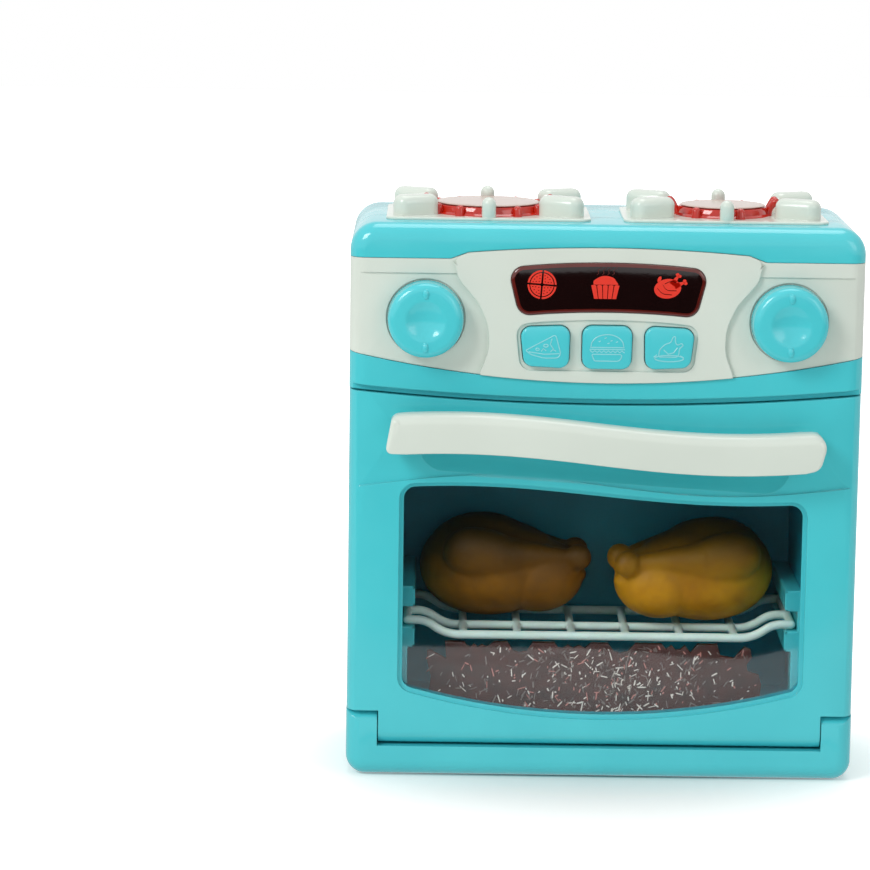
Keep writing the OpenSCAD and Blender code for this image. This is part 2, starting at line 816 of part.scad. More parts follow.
module cup_cake() {
    s = icon_size;
    polygon([[-0.42 * s, 0.02 * s], [-0.3 * s, -0.42 * s], [0.3 * s, -0.42 * s], [0.42 * s, 0.02 * s]]);
    intersection() {
        circle(r = 0.46 * s);
        translate([-s, 0.06 * s]) square([2 * s, s]);
    }
    for (i = [-1 : 1])
        translate([i * 0.22 * s, 0.58 * s]) rotate(-18) square([0.06 * s, 0.26 * s]);
}

module roast_bird() {
    s = icon_size;
    polygon(ellipse_pts(0.5 * s, 0.4 * s, 28));
    rotate(24) translate([0.3 * s, -0.09 * s]) square([0.42 * s, 0.18 * s]);
    rotate(24) for (dz = [-0.08, 0.08])
        translate([0.74 * s, dz * s]) circle(r = 0.11 * s);
}

module circuit_board() {
    color("#2c7a46") difference() {
        slab(board_d, board_d + board_t) translate([-board_half, board_low])
            square([2 * board_half, board_top - board_low]);
        for (side = [-1, 1], z = board_post_z)
            peg(side * board_post_x, z, screw_r + 0.3, board_d - 1, board_d + board_t + 1);
    }
    color("#20262a") slab(board_d + board_t, board_d + board_t + 2) {
        translate([-12, button_z - 4]) square([10, 10]);
        translate([6, button_z + 2]) square([14, 5]);
    }
}

module indicator_leds() {
    color("#d8483a") for (i = [-1 : 1]) {
        x = i * icon_pitch;
        peg(x, display_z, led_r, 8, board_d);
        translate([x, y_front + 8, display_z]) sphere(r = led_r);
    }
}

module keypad() {
    color("#c9cdd0") {
        slab(board_d - 1.2, board_d) translate([-button_pitch - 10, button_z - 7])
            square([2 * button_pitch + 20, 14]);
        for (side = [-1 : 1])
            peg(side * button_pitch, button_z, 4, keypad_front, board_d - 0.6);
    }
}

// A push button: a proud cap, a flange behind the panel and a hollow back.
module push_button(side) {
    color(cyan) difference() {
        union() {
            slab(-platform_proud - button_proud, button_back) button_place(side) button_outline(side, 0);
            slab(panel_t + button_gap, panel_t + button_gap + flange_t)
                button_place(side) button_outline(side, 1.2);
            peg(side * button_pitch, button_z, 3, 0, button_back + flange_t);
        }
        slab(-platform_proud - button_proud + 2.4, button_back + 1) difference() {
            button_place(side) button_outline(side, -2);
            translate([side * button_pitch, button_z]) circle(r = 3);
        }
    }
}

module button_left() { push_button(-1); }
module button_centre() { push_button(0); }
module button_right() { push_button(1); }

// A knob turned about its own axis: [radius, depth] of its profile.
module knob(x) {
    front = -knob_reach;
    dish_deep = 1.8;
    dish_r = dish_dia / 2;
    bowl = (dish_r * dish_r + dish_deep * dish_deep) / (2 * dish_deep);
    color(cyan) translate([x, y_front, knob_z]) difference() {
        union() {
            rotate([-90, 0, 0]) rotate_extrude($fn = large_fn) polygon([
                [0, front], [knob_r - 2.4, front], [knob_r - 1.2, front + 0.4], [knob_r - 0.5, front + 1.3],
                [knob_r - 0.2, front + 2.6], [knob_r, 0.4], [shaft_r + 3, 0.4], [shaft_r + 3, well_d - 0.2],
                [shaft_r, well_d - 0.2], [shaft_r, knob_boss_d + 0.3], [0, knob_boss_d + 0.3]]);
            for (side = [-1, 1])
                translate([0, front + 0.6, side * (knob_r - 4.9)]) rotate([90, 0, 0]) linear_extrude(1.1)
                    polygon(ellipse_pts(mark_half_w, mark_half_h, 24));
        }
        translate([0, front + dish_deep - bowl, 0]) sphere(r = bowl, $fn = large_fn);
        rotate([-90, 0, 0]) translate([0, 0, knob_boss_d - 8]) cylinder(r = 1.1 + screw_gap, h = 9);
    }
}

module knob_left() { knob(-knob_x); }
module knob_right() { knob(knob_x); }

// Washer and screw that hold a knob's shaft behind the panel.
module knob_retainer(x) {
    seat = knob_boss_d + 0.3;
    color("#b8bcc0") {
        difference() {
            peg(x, knob_z, shaft_r + 1.8, seat, seat + 0.8);
            peg(x, knob_z, 1.4, seat - 1, seat + 2);
        }
        screw(x, knob_z, 1.1, 2.2, seat + 0.8, 7);
    }
}

module knob_retainer_left() { knob_retainer(-knob_x); }
module knob_retainer_right() { knob_retainer(knob_x); }

// A pan support: a bar with rounded ends and top, standing on the deck and reaching inwards.
module lug(turn, out) {
    r = 2.4;
    half = lug_w / 2;
    rotate([0, 0, turn]) intersection() {
        translate([0, 0, body_h]) linear_extrude(lug_h)
            polygon(rounded(box_pts(0, -half, out, half, r, r)));
        translate([0, half, 0]) rotate([90, 0, 0]) linear_extrude(lug_w)
            polygon(rounded(box_pts(0, body_h - 1, out, body_h + lug_h, 0, r)));
        rotate([90, 0, 90]) linear_extrude(out)
            polygon(rounded(box_pts(-half, body_h - 1, half, body_h + lug_h, 0, r)));
    }
}

// The short round support in front of a burner and behind it.
module stub(y) {
    translate([0, y, body_h]) {
        cylinder(r = stub_r, h = lug_h - stub_r);
        translate([0, 0, lug_h - stub_r]) sphere(r = stub_r);
    }
}

module hob_plate(x, cap_r) {
    color(cream) translate([x, y_front + hob_depth, 0]) {
        difference() {
            union() {
                translate([0, 0, body_h]) linear_extrude(hob_t)
                    polygon(rounded(box_pts(-hob_w / 2, -hob_d / 2, hob_w / 2, hob_d / 2, 5, 5)));
                for (turn = [lug_turn, 180 - lug_turn, 180 + lug_turn, -lug_turn])
                    lug(turn, lug_out);
                for (side = [-1, 1])
                    stub(side * (hob_d / 2 - stub_r));
            }
            translate([0, 0, body_h - 1]) cylinder(r = lamp_hole_r, h = hob_t + 2);
            translate([0, 0, body_h + hob_t])
                cylinder(r = cap_r + ring_out + 0.2, h = lug_h, $fn = large_fn);
        }
    }
}

module hob_plate_left() { hob_plate(-hob_x, cap_left_r); }
module hob_plate_right() { hob_plate(hob_x, cap_right_r); }

// Red burner ring: a tub with posts standing round its wall; those at the sides hook outwards.
module burner_ring(x, cap_r, posts, hooks) {
    post_at = cap_r + ring_out - post_r;
    top = cap_low + 1 - post_r;
    color(ember) translate([x, y_front + hob_depth, 0]) {
        difference() {
            union() {
                translate([0, 0, hob_top]) cylinder(r = cap_r + ring_out - 1, h = 1, $fn = large_fn);
                translate([0, 0, hob_top]) cylinder(r = cap_r - 0.4, h = cap_low - hob_top, $fn = large_fn);
            }
            translate([0, 0, hob_top + 1]) cylinder(r = cap_r - 2.6, h = 9, $fn = large_fn);
        }
        for (turn = posts)
            rotate([0, 0, turn]) translate([post_at, 0, 0]) {
                translate([0, 0, hob_top]) cylinder(r = post_r, h = top - hob_top, $fn = 24);
                translate([0, 0, top]) sphere(r = post_r, $fn = 24);
            }
        for (turn = hooks)
            rotate([0, 0, turn]) translate([post_at, 0, hob_top]) {
                cylinder(r = hook_r, h = 2.4, $fn = 24);
                translate([0, 0, 2.4]) {
                    sphere(r = hook_r, $fn = 24);
                    rotate([0, hook_lean, 0]) cylinder(r = hook_r * 0.9, h = hook_len, $fn = 24);
                }
                translate([hook_len * sin(hook_lean), 0, 2.4 + hook_len * cos(hook_lean)])
                    sphere(r = hook_r, $fn = 24);
            }
    }
}

module burner_ring_left() {
    posts = [for (side = [90, 270], turn = [-60, -30, 30, 60]) side + turn];
    burner_ring(-hob_x, cap_left_r, posts, [0, 180]);
}
module burner_ring_right() {
    burner_ring(hob_x, cap_right_r, [72, 127, 241.5, 298.5], [-9, 9, 180]);
}

module burner_cap(x, cap_r) {
    color("#e9dad6") translate([x, y_front + hob_depth, 0]) rotate_extrude($fn = large_fn) polygon([
        [0, cap_low - 1.4], [cap_r - 3.2, cap_low - 1.4], [cap_r - 3.2, cap_low], [cap_r - 0.3, cap_low],
        [cap_r - 0.3, cap_low + cap_t * 0.5], [cap_r - 0.9, cap_low + cap_t * 0.85],
        [cap_r - 2, cap_low + cap_t],
        [0, cap_low + cap_t]]);
}

module burner_cap_left() { burner_cap(-hob_x, cap_left_r); }
module burner_cap_right() { burner_cap(hob_x, cap_right_r); }

// A small lamp board under each burner, hung from the deck's posts.
module burner_lamps() {
    top = body_h - wall - 8;
    color("#2c7a46") for (side = [-1, 1])
        translate([side * hob_x, y_front + hob_depth, top - board_t]) {
            translate([-15, -6, 0]) cube([30, 12, board_t]);
            translate([0, 0, board_t / 2]) cylinder(r = led_r, h = 6);
            translate([0, 0, board_t / 2 + 6]) sphere(r = led_r);
        }
}

// Jagged glowing coal insert: a toothed face, a floor shelf and a lamp strip behind it.
module coal_insert() {
    half = coal_half;
    low = cavity_low;
    top = low + coal_h;
    teeth = [0, -5, -0.6, -2.6, -0.8, -2.8, 0, -6];
    pitch = 6.4;
    n = floor((2 * half - 24) / pitch);
    start = -n * pitch / 2;
    color("#6a2a20") {
        slab(coal_front, coal_front + coal_t) polygon(concat(
            [[-half + 5, low], [-half + 4, low + 8], [-half, low + 17]],
            [[-half + 2, top - 8], [-half + 6, top - 9]],
            [for (i = [0 : n]) [start + i * pitch, top + teeth[i % len(teeth)]]],
            [[half - 6, top - 8], [half - 2, top - 6], [half - 4, low + 14], [half, low + 12], [half - 1, low]]));
        slab(coal_front + coal_t / 2, coal_front + 24)
            translate([-half + 6, low]) square([2 * half - 12, coal_t]);
    }
}

module fire_lamp() {
    z = cavity_low + coal_t;
    board = coal_front + lamp_in;
    color("#2c7a46") slab(board, board + board_t) translate([-lamp_half, z]) square([2 * lamp_half, lamp_h]);
    color("#d8483a") for (x = [-lamp_pitch, 0, lamp_pitch]) {
        peg(x, z + lamp_h / 2, led_r, board - 5, board);
        translate([x, y_front + board - 5, z + lamp_h / 2]) sphere(r = led_r);
    }
}

// A straight wire between two points, with a ball at its start.
module wire(a, b) {
    run = b - a;
    length = norm(run);
    translate(a) {
        sphere(r = wire_r, $fn = 24);
        rotate([0, acos(run.z / length), atan2(run.y, run.x)]) cylinder(r = wire_r, h = length, $fn = 24);
    }
}

module rack() {
    ends = [[rack_half, rack_end_z], [rack_bend_out, rack_end_z], [rack_bend_in, rack_z]];
    route = concat([for (p = ends) [-p.x, p.y]], [for (i = [2 : -1 : 0]) ends[i]]);
    back = rack_front + wire_near + wire_far;
    color(cream) {
        for (depth = [rack_front, rack_front + wire_near, back], k = [0 : len(route) - 2]) {
            y = y_front + depth;
            wire([route[k].x, y, route[k].y], [route[k + 1].x, y, route[k + 1].y]);
        }
        for (i = [0 : cross_n - 1]) {
            x = (i - (cross_n - 1) / 2) * cross_pitch;
            translate([x, y_front + rack_front, rack_z]) rotate([-90, 0, 0])
                cylinder(r = wire_r * 0.95, h = back - rack_front, $fn = 24);
        }
        mirrored() translate([rack_half, y_front + rack_front, rack_end_z]) rotate([-90, 0, 0])
            cylinder(r = wire_r * 0.95, h = back - rack_front, $fn = 24);
    }
}

// A solid of revolution with an egg-shaped half profile along +X.
module egg(length, radius, lean) {
    pts = [for (i = [0 : 20]) let(t = 180 * i / 20)
        [radius * sin(t) * (1 + lean * cos(t)), -length / 2 * cos(t)]];
    rotate([0, 90, 0]) rotate_extrude($fn = 40) polygon(pts);
}

// A play roast chicken lying on its back, drumsticks towards +X.
module chicken() {
    body_len = chicken_len * 0.8;
    r = chicken_h / 2;
    color(ochre) intersection() {
        translate([-chicken_len, -chicken_len, 0]) cube([2 * chicken_len, 2 * chicken_len, chicken_h + 1]);
        union() {
            translate([body_len / 2 - chicken_len / 2, 0, r - 0.6]) egg(body_len, r, 0.16);
            for (side = [-1, 1]) {
                translate([2, side * 13.5, r - 1]) rotate([0, -8, side * -10]) egg(40, 11, -0.1);
                translate([14, side * 12, r + 3]) rotate([0, 100, side * -22])
                    cylinder(r1 = 7, r2 = 3.2, h = 18);
                translate([30.4, side * 5.4, r + 0.2]) sphere(r = 4.4);
                translate([-14, side * 17, r - 5]) rotate([0, 12, side * 16]) egg(26, 6.5, 0);
            }
        }
    }
}

module chicken_place(side) {
    back = side < 0 ? chicken_back : 0;
    x = side * (chicken_len / 2 + chicken_mid);
    translate([x, y_front + rack_front + chicken_in + back, food_z]) children();
}

module chicken_left() { chicken_place(-1) chicken(); }
module chicken_right() { chicken_place(1) mirror([1, 0, 0]) chicken(); }

// Outline of the door: curved top, wings over the cheeks and a tongue between them.
module door_outline(inset) {
    half = door_half - inset;
    tongue = tongue_half - inset;
    low = pivot_z - door_t / 2;
    polygon(concat([[tongue, low + inset], [tongue, door_low + inset], [half, door_low + inset]],
        [for (x = spread(half, -half, 24)) [x, head_edge(x) - door_gap - inset]],
        [[-half, door_low + inset], [-tongue, door_low + inset], [-tongue, low + inset]]));
}

// Side view of the door, rounded about the hinge at its foot.
module door_side(front, back) {
    intersection() {
        translate([front, 0]) square([back - front, body_h]);
        union() {
            translate([0, pivot_z]) square([door_t, body_h]);
            translate([pivot_d, pivot_z]) circle(r = door_t / 2, $fn = large_fn);
        }
    }
}

module door_plan() {
    translate([0, y_front, 0]) linear_extrude(body_h)
        polygon(rounded([[-door_half, -3, 0], [door_half, -3, 0], [door_half, door_t, 1],
            [-door_half, door_t, 1]]));
}

// Window outline: a waved top edge and a sagging lower edge.
module window_outline(grow) {
    half = window_half + grow;
    top = window_top + grow;
    low = window_low - grow;
    inner = half - window_r - grow - 1;
    polygon(rounded(concat(
        [[-half, low + arc_z(half, window_half, window_rise), window_r + grow]],
        [for (x = spread(-inner, inner, 20)) [x, low + arc_z(x, window_half, window_rise), 0]],
        [[half, low + arc_z(half, window_half, window_rise), window_r + grow]],
        [[half, top + wave(half, wave_up * 0.84, wave_down, 58, 56), window_r + grow]],
        [for (x = spread(inner, -inner, 20)) [x, top + wave(x, wave_up * 0.84, wave_down, 58, 56), 0]],
        [[-half, top + wave(-half, wave_up * 0.84, wave_down, 58, 56), window_r + grow]])));
}

// Everything under the step line across the door.
module step_outline() {
    line = window_top + 5;
    polygon(concat([[-half_w, sill_h], [half_w, sill_h]],
        [for (x = spread(half_w, -half_w, 36)) [x, line + wave(x, wave_up * 0.86, wave_down * 1.2, 45, 50)]]));
}

// The finger scoop behind the handle, grown for its own wall.
module scoop(grow) {
    translate([0, y_front + scoop_in - scoop_r, scoop_z]) rotate([0, scoop_tilt, 0]) {
        translate([-scoop_half, 0, 0]) rotate([0, 90, 0])
            cylinder(r = scoop_r + grow, h = 2 * scoop_half, $fn = large_fn);
        for (end = [-scoop_half, scoop_half])
            translate([end, 0, 0]) sphere(r = scoop_r + grow, $fn = large_fn);
    }
}

function door_post_places() = [for (side = [-1, 1], z = door_post_z) [side * (half_w - door_post_in), z]];

module door_frame() {
    proud = 0.9;
    fade = 62;
    color(cyan) difference() {
        union() {
            difference() {
                intersection() {
                    slab(-2, door_split) door_outline(0);
                    union() {
                        side_bar(half_w) door_side(0, door_split);
                        // Below the step line the face leans out a little.
                        intersection() {
                            slab(-2, 1) step_outline();
                            side_bar(half_w) polygon([[1, pivot_z], [0, window_top - fade],
                                [-proud, window_top - 4],
                                [-proud, window_top + 12], [1, window_top + 12]]);
                        }
                    }
                    door_front_edges();
                }
                intersection() {
                    slab(plate_t, door_t) door_outline(wall);
                    side_bar(half_w) translate([plate_t, pivot_z]) square([door_t, body_h]);
                }
            }
            slab(plate_t - 0.5, door_split) difference() {
                window_outline(pane_lap + 0.3 + rib_t);
                window_outline(pane_lap + 0.3);
            }
            for (p = door_post_places())
                peg(p.x, p.y, 3, plate_t - 0.5, door_split);
            intersection() {
                scoop(wall);
                slab(0.5, door_split) door_outline(wall);
            }
            // Hinge pins moulded on the tongue's ends.
            mirrored() translate([tongue_half - 4, y_front + pivot_d, pivot_z]) rotate([0, 90, 0])
                cylinder(r = pin_r, h = 4 + pin_len);
        }
        slab(-3, 1.8) window_outline(window_step);
        slab(-3, door_t) window_outline(0);
        scoop(0);
        for (p = door_post_places())
            peg(p.x, p.y, screw_r + screw_gap, plate_t + 0.5, door_split + 1);
        for (x = [-1, 1])
            peg(x * handle_screw_x, handle_foot_z(x), screw_r + 0.3, -1, plate_t + 1);
    }
}

// Plan of the door with its rounded upright edges.
module door_front_edges() {
    translate([0, y_front, 0]) linear_extrude(body_h)
        polygon(rounded([[-door_half, -0.9, edge_r], [door_half, -0.9, edge_r], [door_half, door_t, 0.3],
            [-door_half, door_t, 0.3]]));
}

module door_inner_frame() {
    color("#3cbecb") difference() {
        union() {
            intersection() {
                slab(door_split, door_t) door_outline(0.2);
                side_bar(half_w) door_side(door_split, door_t);
                door_plan();
            }
            slab(pane_d + pane_t, door_split + 0.5) difference() {
                window_outline(3.4);
                window_outline(1.2);
            }
        }
        slab(-1, door_t + 1) window_outline(1.2);
        for (p = door_post_places()) {
            peg(p.x, p.y, screw_r + 0.3, 0, door_t + 1);
            peg(p.x, p.y, screw_head_r + 0.2, door_t - screw_head_t - 0.2, door_t + 1);
        }
    }
}

module door_pane() {
    color([0.8, 0.88, 0.88, 0.35]) slab(pane_d, pane_d + pane_t) window_outline(pane_lap);
}

// Top edge of the handle bar, and the height of the middle of a foot.
function handle_top(x) = handle_z + wave(x, wave_up, wave_down, wave_left, wave_right);
function handle_foot_z(side) = handle_top(side * handle_screw_x) - handle_h / 2;

module handle_outline(half) {
    polygon(rounded(concat(
        [[-half - 0.8, handle_top(-half) - handle_h + 0.6, 1.8],
            [2 - half, handle_top(3 - half) - 0.3, 4]],
        [for (x = spread(8 - half, half - 12, 22)) [x, handle_top(x), 0]],
        [[half - 3, handle_top(half - 3) - 0.3, 5], [half + 0.8, handle_top(half) - 5.6, 5],
            [half - 2, handle_top(half) - handle_h + 0.8, 1.5]],
        [for (x = spread(half - 8, 8 - half, 22)) [x, handle_top(x) - handle_h, 0]])));
}

module door_handle() {
    back = handle_t - handle_reach;
    color(cream) difference() {
        union() {
            intersection() {
                slab(-handle_reach, back) handle_outline(handle_half);
                // The bar's front leans back towards its top edge.
                side_bar(half_w) polygon([[-handle_reach, 0], [-handle_reach, handle_z - 8],
                    [-handle_reach + 1.6, handle_z + 5], [back, handle_z + 5], [back, 0]]);
            }
            for (side = [-1, 1])
                intersection() {
                    slab(back - 1, 0) intersection() {
                        handle_outline(handle_half);
                        translate([0, -foot_drop]) handle_outline(handle_half);
                    }
                    translate([side > 0 ? handle_half - foot_len : -half_w, y_front - handle_reach, 0])
                        cube([half_w - handle_half + foot_len, handle_reach + 1, body_h]);
                }
        }
        for (side = [-1, 1])
            peg(side * handle_screw_x, handle_foot_z(side), screw_r + screw_gap, -9, 1);
    }
}

module handle_screws() {
    color("#b8bcc0") for (side = [-1, 1])
        screw(side * handle_screw_x, handle_foot_z(side), screw_r, screw_head_r, plate_t, 11);
}

module door_screws() {
    color("#b8bcc0") for (p = door_post_places())
        screw(p.x, p.y, screw_r, screw_head_r, door_t - screw_head_t - 0.2, 7);
}

module case_screws() {
    color("#b8bcc0") for (side = [-1, 1], z = boss_z)
        screw(side * boss_x, z, case_screw_r, case_head_r, front_d + 4, 14, 2.4);
}

module panel_screws() {
    color("#b8bcc0") mirrored() panel_screw_places()
        screw(0, 0, screw_r, panel_boss_r + 1.2, seat_d + 0.1, 3.6);
}

module board_screws() {
    color("#b8bcc0") for (side = [-1, 1], z = board_post_z)
        screw(side * board_post_x, z, screw_r, screw_head_r, board_d + board_t, 7);
}

module battery_box() {
    out = box_wall;
    color("#26343a") difference() {
        slab(box_in_d - out, box_out_d) translate([-box_half - out, box_z - box_half_h - out])
            square([2 * (box_half + out), 2 * (box_half_h + out)]);
        slab(box_in_d, box_out_d + 1) translate([-box_half, box_z - box_half_h])
            square([2 * box_half, 2 * box_half_h]);
    }
}

// Cells side by side, turned end for end in turn.
module batteries() {
    color("#8a8f94") for (i = [0 : cells_n - 1]) {
        z = box_z + (i - (cells_n - 1) / 2) * cell_pitch;
        flip = i % 2 == 0 ? 1 : -1;
        translate([0, y_front + box_in_d + cell_dia / 2 + 0.2, z]) rotate([0, 90 * flip, 0]) {
            translate([0, 0, -cell_len / 2]) cylinder(r = cell_dia / 2, h = cell_len - 1.4);
            translate([0, 0, cell_len / 2 - 1.5]) cylinder(r = 2.7, h = 1.5);
        }
    }
}

// Plates on the end walls, with a short spring seat towards each cell's flat end.
module battery_contacts() {
    d = box_in_d + cell_dia / 2 + 0.2;
    color("#c4c8cc") for (i = [0 : cells_n - 1]) {
        z = box_z + (i - (cells_n - 1) / 2) * cell_pitch;
        flip = i % 2 == 0 ? 1 : -1;
        for (end = [-1, 1])
            translate([end * (box_half - 0.3), y_front + d, z]) cube([0.5, 9, 11], center = true);
        translate([-flip * (box_half - 0.4), y_front + d, z]) rotate([0, 90 * flip, 0])
            cylinder(r1 = 4.2, r2 = 2.6, h = box_half - cell_len / 2 - 0.5);
    }
}

// Rear hatch, rounded along its lower edge so that it can tip out.
module battery_door() {
    r = hatch_t / 2;
    back = body_d;
    axis_z = box_z - hatch_half_h + hatch_gap + r;
    x = hatch_half - hatch_gap;
    color(cyan) difference() {
        union() {
            slab(back - hatch_t, back) translate([-x, axis_z])
                square([2 * x, box_z + hatch_half_h - hatch_gap - axis_z]);
            translate([-x, y_front + back - r, axis_z]) rotate([0, 90, 0]) cylinder(r = r, h = 2 * x);
        }
        peg(0, box_z + hatch_half_h - 4, 1.9, back - hatch_t - 1, back + 1);
        for (i = [-2 : 2])
            slab(back - 0.6, back + 1) translate([-9, box_z + i * 3 - 0.6 - 8]) square([18, 1.2]);
    }
}

module battery_screw() {
    color("#b8bcc0") peg(0, box_z + hatch_half_h - 4, 1.6, body_d - hatch_t, body_d - 0.3);
}

module speaker() {
    back = body_d - wall;
    color("#2a2c2e") {
        peg(speaker_x, speaker_z, speaker_r, back - 3, back);
        translate([speaker_x, y_front + back - 3, speaker_z]) rotate([90, 0, 0])
            cylinder(r1 = speaker_r - 2, r2 = 11, h = 5);
        peg(speaker_x, speaker_z, 10.5, back - 14, back - 7.9);
    }
}

// The switch's case behind the pad, and the slider that shows in the pocket.
module power_switch() {
    back = body_d - wall - pocket_d;
    color("#2a2c2e") difference() {
        slab(back - 6, back) translate([switch_x - 10, switch_z - 4]) square([20, 8]);
        slab(back - 3, back + 1) translate([switch_x - 6.5, switch_z - 2.6]) square([13, 5.2]);
    }
}

module power_slider() {
    back = body_d - wall - pocket_d;
    color("#e3e9e2") slab(back - 2.8, body_d - 0.4) translate([switch_x - 2 - 2, switch_z - 2])
        square([4, 4]);
}

front_shell();
rear_shell();
cavity_liner();
control_panel();
display_lens();
display_icons();
circuit_board();
indicator_leds();
keypad();
button_left();
button_centre();
button_right();
knob_left();
knob_right();
knob_retainer_left();
knob_retainer_right();
hob_plate_left();
hob_plate_right();
burner_ring_left();
burner_ring_right();
burner_cap_left();
burner_cap_right();
burner_lamps();
coal_insert();
fire_lamp();
rack_rail_left();
rack_rail_right();
rack();
chicken_left();
chicken_right();
door_frame();
door_inner_frame();
door_pane();
door_handle();
handle_screws();
door_screws();
case_screws();
panel_screws();
board_screws();
battery_box();
battery_door();
battery_screw();
batteries();
battery_contacts();
speaker();
power_switch();
power_slider();
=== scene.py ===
# %% [markdown]
# # A toy oven, dressed for its picture
# The oven is a battery toy moulded in turquoise and ivory ABS: a case in two halves, a panel with knobs, buttons
# and a dark display, a door with a window, and a little hob on top. The solids come in from the frame with their
# real sizes. This lesson gives them the finish that such plastics have, softens their edges, and builds the pieces
# whose forms are too soft for plain solids: the roast birds, the wire rack, the ember sheet and the flames.
# %% Load the frame
import math
import random

import bmesh
import bpy
import numpy as np
from mathutils import Euler, Matrix, Vector


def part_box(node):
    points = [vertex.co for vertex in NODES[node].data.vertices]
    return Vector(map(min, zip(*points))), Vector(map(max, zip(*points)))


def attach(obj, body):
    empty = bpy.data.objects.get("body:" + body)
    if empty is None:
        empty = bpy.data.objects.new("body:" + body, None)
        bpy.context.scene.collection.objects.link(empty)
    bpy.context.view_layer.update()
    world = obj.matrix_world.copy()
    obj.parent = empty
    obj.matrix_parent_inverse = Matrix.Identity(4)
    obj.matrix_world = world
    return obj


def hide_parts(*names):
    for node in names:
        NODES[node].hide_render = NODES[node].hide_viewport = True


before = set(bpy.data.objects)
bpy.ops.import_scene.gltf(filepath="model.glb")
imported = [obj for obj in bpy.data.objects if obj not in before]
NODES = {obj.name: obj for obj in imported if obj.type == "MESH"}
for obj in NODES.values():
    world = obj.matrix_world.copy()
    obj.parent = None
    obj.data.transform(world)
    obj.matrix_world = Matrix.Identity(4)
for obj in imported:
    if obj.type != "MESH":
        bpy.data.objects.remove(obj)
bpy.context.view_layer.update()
MM = 0.001

# %% [markdown]
# ## Where the front is
# Nearly every place on the toy is told by its depth behind the body's front plane. The handle stands proud of that
# plane, so the plane is found from the two cheeks, which are flush with it: the front shell's own front.
# %% Driving places, read from the frame
shell_low, shell_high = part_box("front_shell")
FRONT = shell_low.y
DECK = shell_high.z
HALF_WIDTH = shell_high.x


def box_centre(node):
    """Middle of a node's box."""
    low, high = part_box(node)
    return (low + high) / 2


print("front plane at y =", round(FRONT / MM, 2), "mm, deck at z =", round(DECK / MM, 2), "mm")

# %% [markdown]
# ## Two small helpers for materials
# Colours are written as the sRGB hex values read from the real toy, and one function turns them
# into the linear values that Blender computes with. Another adds a node: its own settings, and its sockets, each
# given a plain value or another node's output.
# %% Colour and node helpers


def linear(hex_colour):
    """Linear RGBA from an sRGB hex colour such as #4fcdd6."""
    channels = [int(hex_colour[i:i + 2], 16) / 255 for i in (1, 3, 5)]
    return tuple(c / 12.92 if c <= 0.04045 else ((c + 0.055) / 1.055) ** 2.4 for c in channels) + (1.0,)


def add(tree, kind, sockets=None, **settings):
    """Adds a shader node with its settings, and fills its sockets with values or links."""
    node = tree.nodes.new("ShaderNode" + kind)
    for name, value in settings.items():
        setattr(node, name, value)
    for name, value in (sockets or {}).items():
        if isinstance(value, bpy.types.NodeSocket):
            tree.links.new(value, node.inputs[name])
        else:
            node.inputs[name].default_value = value
    return node


def empty_material(name):
    """A material with an empty node tree."""
    material = bpy.data.materials.new(name)
    material.use_nodes = True
    material.node_tree.nodes.clear()
    return material


def per_mm(spacing):
    """Texture scale of a pattern that repeats about every so many millimetres."""
    return 1 / (spacing * MM)


# %% [markdown]
# ## Moulded ABS
# ABS comes out of a polished mould with a bright, slightly uneven gloss. Three things tell the eye that it is
# plastic and not paint: the pigment drifts a little where the melt flowed, the polish varies from patch to patch,
# and the skin has a very fine orange peel. Each of these is a noise with a real spacing in millimetres.
# %% ABS materials
ABS_IOR = 1.54


def moulded_abs(name, colour, flow_colour, roughness=0.14, peel=0.05, edge=0.6):
    """Injection-moulded ABS: pigment, its drift, the polish, the orange peel and the soft mould edge in mm."""
    material = empty_material(name)
    tree = material.node_tree
    place = add(tree, "TexCoord").outputs["Object"]
    flow = add(tree, "TexNoise", {"Vector": place, "Scale": per_mm(42), "Detail": 3.0})
    drift = add(tree, "MapRange", {"Value": flow.outputs["Fac"], "From Min": 0.3, "From Max": 0.7})
    mix = add(tree, "MixRGB", {"Fac": drift.outputs["Result"], "Color1": linear(colour),
                               "Color2": linear(flow_colour)})
    polish = add(tree, "TexNoise", {"Vector": place, "Scale": per_mm(9), "Detail": 4.0})
    gloss = add(tree, "MapRange", {"Value": polish.outputs["Fac"], "From Min": 0.25, "From Max": 0.75,
                                   "To Min": roughness - 0.04, "To Max": roughness + 0.05})
    skin = add(tree, "TexNoise", {"Vector": place, "Scale": per_mm(1.1), "Detail": 2.0})
    rounded = add(tree, "Bevel", {"Radius": edge * MM}, samples=4)
    bump = add(tree, "Bump", {"Height": skin.outputs["Fac"], "Strength": peel, "Distance": 0.15 * MM,
                              "Normal": rounded.outputs["Normal"]})
    shader = add(tree, "BsdfPrincipled", {"Base Color": mix.outputs["Color"], "Roughness": gloss.outputs["Result"],
                                          "Normal": bump.outputs["Normal"], "IOR": ABS_IOR})
    add(tree, "OutputMaterial", {"Surface": shader.outputs["BSDF"]})
    return material


TURQUOISE = moulded_abs("turquoise ABS, polished", "#4fcdd6", "#49c8d2")
TURQUOISE_TRIM = moulded_abs("turquoise ABS, knobs and keys", "#50ced7", "#4ac9d3", roughness=0.16, edge=0.3)
# The cavity and the door's inner frame: the case's turquoise painted darker, painted shade for the deep oven.
TURQUOISE_SHADED_INNER = moulded_abs("turquoise ABS, cavity, darker for painted shade", "#06a0b4", "#0598ac", roughness=0.42)
IVORY = moulded_abs("ivory ABS, polished", "#dbe4da", "#d6dfd5", roughness=0.16)
BLACK = moulded_abs("black ABS, textured", "#1b1e20", "#24282a", roughness=0.5, peel=0.3)
print("ABS finishes made:", len(bpy.data.materials))
